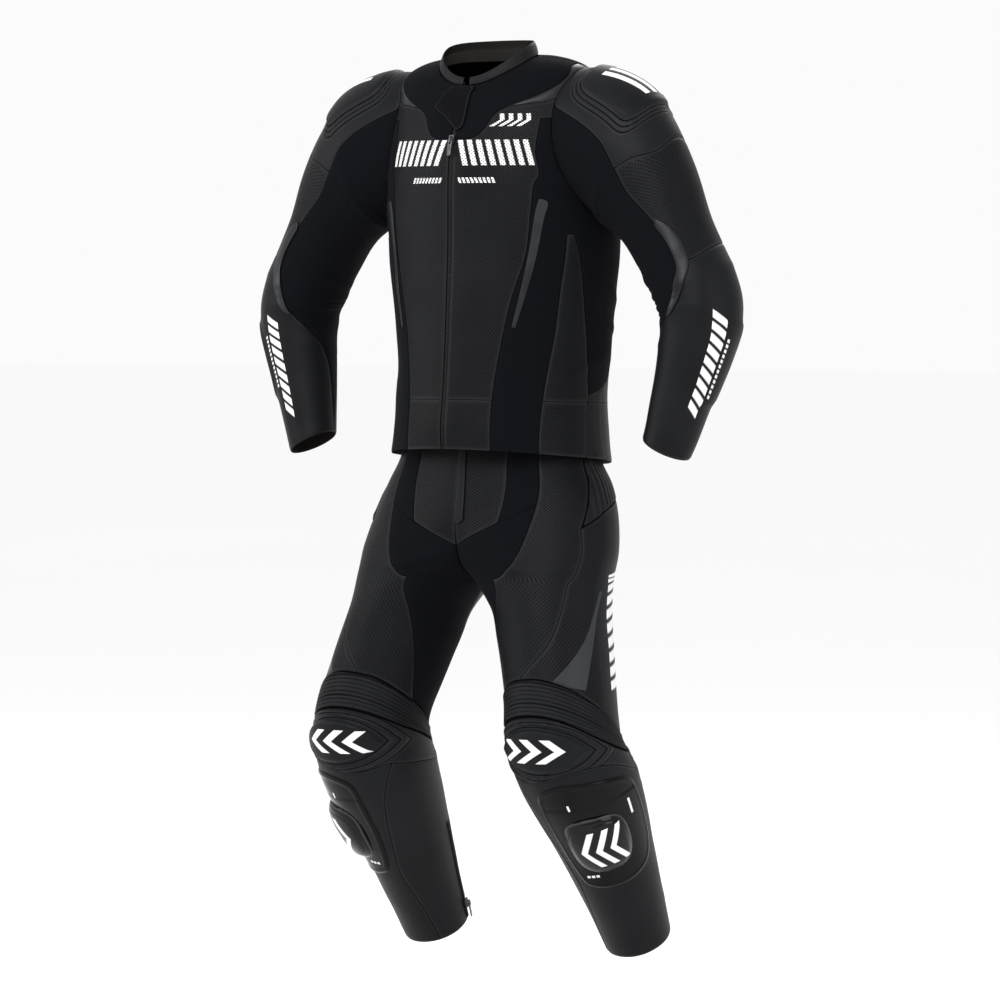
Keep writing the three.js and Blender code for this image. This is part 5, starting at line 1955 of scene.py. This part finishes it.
@dataclass
class KneeSliders(Suit):
    """The patches below the knees and the glossy pucks fastened on them."""

    pattern: Pattern = Pattern(LEG, LEG_SEAMS, spacing=3.0)
    patch_lift: float = 0.6
    step_row: float = 15.28
    relief_height: float = 0.9
    gap: float = 0.6
    puck: Oval = Oval(16.6, 63.0, 0.92, 17.0, power=3.2)
    puck_sides: int = 96
    rim: float = 6.0
    dome: float = 11.0
    fall: float = 0.8
    groove_share: float = 0.84
    groove_width: float = 0.022
    groove_depth: float = 0.8
    edge_reach: float = 15.0
    edge_drop: float = 5.2

    def dome_height(self, row: Array, angle: Array, distance: Array) -> Array:
        """Gives a dome of one less the distance's square, a fine groove and a parabolic edge.

        Args:
            row: Rows on the chart.
            angle: Angles in degrees.
            distance: Millimetres in from the edge.

        Returns:
            Height in millimetres.
        """
        puck = self.puck
        up, side = (row - puck.row) / puck.row_half, (angle - puck.angle) / puck.angle_half
        dome = self.dome * np.clip(1 - self.fall * np.hypot(up, side) ** 2, 0, 1)
        aside = (puck.far(row, angle) - self.groove_share) / self.groove_width
        out = np.clip(1 - distance / self.edge_reach, 0, 1)
        return dome - self.groove_depth * np.exp(-aside ** 2) - self.edge_drop * out ** 2

    def patch_height(self, row: Array, angle: Array, distance: Array) -> Array:
        """Raises a moulded border and a step across the patch above the puck."""
        border = smooth((distance - 1) / 2) * smooth((9 - distance) / 3)
        step = smooth((row - self.step_row) / 0.08) * smooth(distance / 6)
        return self.relief_height * (border + step)

    def build(self) -> None:
        """Builds both sides' patch and puck."""
        base = Gloss("slider_patch_gloss", roughness=0.16, prints=PATCH_MARKS)
        self.pair("slider_patch", self.pattern.outline("slider_base"), base, cloth=False,
                  lift=self.patch_lift, relief=self.patch_height, edge_depth=0.6, row_spacing=2.5,
                  angle_spacing=2.5)
        # The puck's rim of 2.2 is the width of its painted rim highlight.
        puck = Gloss("puck_gloss", wall=self.rim, roughness=0.06, gloss=0.16, rim=2.2,
                     prints=(PUCK_MARK,))
        loop = self.pattern.outline(self.puck.ring(self.puck_sides))
        lift = self.patch_lift + base.wall + self.gap
        self.pair("slider_puck", loop, puck, cloth=False, lift=lift, relief=self.dome_height,
                  edge_depth=0.0, row_spacing=1.5, angle_spacing=1.5, rings=(0.6, 1.2, 2.0, 3.0))


@dataclass
class Zips(Suit):
    """Zip tapes at the ankles, teeth along every zip, and the finish of sliders and pull tabs."""

    pattern: Pattern = Pattern(LEG, {})
    tooth_pitch: float = 2.6
    tooth_size: tuple[float, float, float] = (3.4, 1.7, 1.1)
    tooth_taper: float = 0.7
    offset: float = 0.9
    front_rows: tuple[float, float] = (0.1, 9.75)
    front_rise: float = -2.7
    ankle_angle: float = 170.0
    ankle_half_angle: float = 1.7
    ankle_rows: tuple[float, float] = (17.4, 20.9)
    ankle_tooth_rows: tuple[float, float] = (17.45, 20.1)
    trim_gap: float = 0.3
    samples: int = 400

    def tooth(self) -> tuple[Array, Array]:
        """Returns one block's corners, its top narrower by the taper, and its six faces."""
        corner = np.array([[x, y, z] for x in (-0.5, 0.5) for y in (-0.5, 0.5) for z in (0, 1)])
        taper = np.where(corner[:, 2:] > 0, self.tooth_taper, 1.0) * [1, 1, 0] + [0, 0, 1]
        faces = np.array([[0, 1, 3, 2], [4, 6, 7, 5], [0, 4, 5, 1], [2, 3, 7, 6], [0, 2, 6, 4],
                          [1, 5, 7, 3]])
        return corner * taper * np.array(self.tooth_size), faces

    def teeth(self, chart: Chart, rows: tuple[float, float], angle: float,
              rise: float) -> tuple[Array, Array]:
        """Sets blocks along a zip, every other one to the other side.

        Args:
            chart: the surface that the zip lies on.
            rows: the zip's first and last row.
            angle: the zip's angle.
            rise: how far the teeth's feet stand off the chart, in millimetres.

        Returns:
            The blocks' points in metres and their faces.
        """
        places = np.linspace(*rows, self.samples)
        lengths = path_lengths(chart.at(places, np.full(self.samples, angle)))
        count = int(lengths[-1] / self.tooth_pitch)
        row = np.interp((np.arange(count) + 0.5) * self.tooth_pitch, lengths, places)
        turn = np.full(count, angle)
        out = chart.outward(row, turn)
        along = unit(chart.at(row + 0.01, turn) - chart.at(row - 0.01, turn))
        side = unit(np.cross(along, out))
        aside = self.offset * (-1.0) ** np.arange(count)[:, None]
        middle = chart.at(row, turn) + out * rise + side * aside
        corners, box = self.tooth()
        points = middle[:, None] + corners @ np.stack([side, along, out], axis=1)
        faces = (box[None] + len(corners) * np.arange(count)[:, None, None]).reshape(-1, 4)
        if np.dot(np.cross(side[0], along[0]), out[0]) < 0:
            faces = faces[:, ::-1]
        return points.reshape(-1, 3) * MM, faces

    def add_teeth(self, name: str, points: Array, faces: Array) -> None:
        """Puts a zip's teeth in the scene.

        Args:
            name: The piece's name.
            points: The teeth's corners in metres.
            faces: Four corner numbers a face.
        """
        finish = Metal("zip_teeth", (0.012, 0.012, 0.013), roughness=0.4)
        obj = mesh_object(name, points, faces, sharp=30.0)
        obj.data.materials.append(material_of(finish))
        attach(obj, self.body)
        log.info("%s: %d faces", name, len(faces))

    def build(self) -> None:
        """Builds the ankle tapes and all the teeth, and dresses the nodes that stay."""
        middle, half = self.ankle_angle, self.ankle_half_angle
        low, high, (first, last) = middle - half, middle + half, self.ankle_rows
        loop = self.pattern.outline([[first, low], [first, high], [last, high], [last, low]])
        tape = Tape("ankle_tape")
        self.pair("ankle_zip", loop, tape, lift=self.trim_gap, edge_depth=0.3, rings=(1.0,))
        self.add_teeth("front_zip_teeth", *self.teeth(TORSO, self.front_rows, 0.0, self.front_rise))
        points, faces = self.teeth(LEG, self.ankle_tooth_rows, middle, self.trim_gap + tape.wall)
        self.add_teeth("ankle_zip_teeth_left", points, faces)
        self.add_teeth("ankle_zip_teeth_right", flipped(points), back(faces.T).T)
        for zip_name in ("front_zip", "ankle_zip_left", "ankle_zip_right"):
            for part in ("slider", "pull"):
                for slot in bpy.data.objects[f"{zip_name}_{part}"].material_slots:
                    slot.material = material_of(Metal("zip_metal_dark"))


@dataclass(frozen=True)
class Light:
    """One large soft light, by its direction and distance from the suit, its size and its watts."""

    name: str
    azimuth: float
    elevation: float
    distance: float
    size: float
    power: float


@dataclass
class Studio:
    """A pale floor, soft lights and the camera at the photo's angle."""

    floor_z: float = -1.42
    floor_half: float = 60.0
    floor_scale: float = 0.6
    floor_roughness: float = 0.9
    floor_tones: tuple[Colour, Colour] = ((0.97, 0.97, 0.97), (0.99, 0.99, 0.99))
    azimuth: float = 34.0
    elevation: float = 2.0
    distance: float = 9.0
    target: tuple[float, float, float] = (0.0, 0.030, -0.640)
    focal_pixels: float = 5960.0
    target_pixel: tuple[float, float] = (494.1, 495.0)
    image_pixels: float = 1000.0
    sensor: float = 36.0
    farthest: float = 300.0
    sky: Colour = (0.965, 0.967, 0.97)
    sky_strength: float = 1.0
    lights: tuple[Light, ...] = (
        Light("key", 15.0, 38.0, 3.2, 1.8, 80.0),
        Light("fill", 80.0, 15.0, 3.4, 2.0, 35.0),
        Light("left_edge", -50.0, 20.0, 3.4, 1.6, 45.0),
        Light("back", 195.0, 40.0, 3.4, 2.0, 45.0),
    )

    def build(self) -> None:
        """Builds the floor, the sky, the lights and the camera."""
        self.add_floor()
        self.add_sky()
        for light in self.lights:
            self.add_light(light)
        self.add_camera()

    def add_floor(self) -> None:
        """Adds the floor, one large square."""
        half, z = self.floor_half, self.floor_z
        square = np.array([[-half, -half, z], [half, -half, z], [half, half, z], [-half, half, z]])
        floor = mesh_object("studio_floor", square, np.array([[0, 1, 2, 3]]))
        shader = Shader("floor_paint")
        colour = shader.mix(shader.noise(self.floor_scale, 2.0), *self.floor_tones)
        floor.data.materials.append(shader.surface(colour, self.floor_roughness))

    def add_sky(self) -> None:
        """Adds an even pale sky, and keeps the colours as they are rendered."""
        world = bpy.data.worlds.new("studio_sky")
        world.use_nodes = True
        background = world.node_tree.nodes["Background"]
        background.inputs["Color"].default_value = (*self.sky, 1.0)
        background.inputs["Strength"].default_value = self.sky_strength
        bpy.context.scene.world = world
        bpy.context.scene.view_settings.view_transform = "Standard"

    def aim(self, name: str, data: bpy.types.ID, azimuth: float, elevation: float,
            distance: float) -> bpy.types.Object:
        """Adds a lamp or camera at a direction and distance from the target, looking at it.

        Args:
            name: The object's name.
            data: The lamp or camera.
            azimuth: Degrees round to the left of the front.
            elevation: Degrees up.
            distance: Metres from the target.

        Returns:
            The new object.
        """
        turn, rise = math.radians(azimuth), math.radians(elevation)
        flat = math.cos(rise)
        toward = np.array([math.sin(turn) * flat, -math.cos(turn) * flat, math.sin(rise)])
        place = Vector(np.array(self.target) + distance * toward)
        turned = (Vector(self.target) - place).to_track_quat("-Z", "Y").to_matrix().to_4x4()
        obj = add_object(name, data)
        obj.matrix_world = Matrix.Translation(place) @ turned
        return obj

    def add_light(self, light: Light) -> None:
        """Adds one light."""
        data = bpy.data.lights.new(light.name, "AREA")
        data.shape, data.size, data.energy = "DISK", light.size, light.power
        self.aim(light.name, data, light.azimuth, light.elevation, light.distance)

    def add_camera(self) -> None:
        """Adds the camera, whose lens and shift give the photo's frame."""
        data = bpy.data.cameras.new("photo_camera")
        data.sensor_width = self.sensor
        data.lens = self.focal_pixels / self.image_pixels * self.sensor
        middle = self.image_pixels / 2
        data.shift_x = (middle - self.target_pixel[0]) / self.image_pixels
        data.shift_y = (self.target_pixel[1] - middle) / self.image_pixels
        data.clip_end = self.farthest
        camera = self.aim("photo_camera", data, self.azimuth, self.elevation, self.distance)
        bpy.context.scene.camera = camera


def main() -> None:
    """Builds the studio and the suit's sub-assemblies in order."""
    logging.basicConfig(level=logging.INFO, format="%(message)s")
    for part in (Studio(), Jacket(), Sleeves(), Trousers(), KneeSliders(), Zips()):
        part.build()
        log.info("%s built", type(part).__name__)


if __name__ == "__main__":
    main()
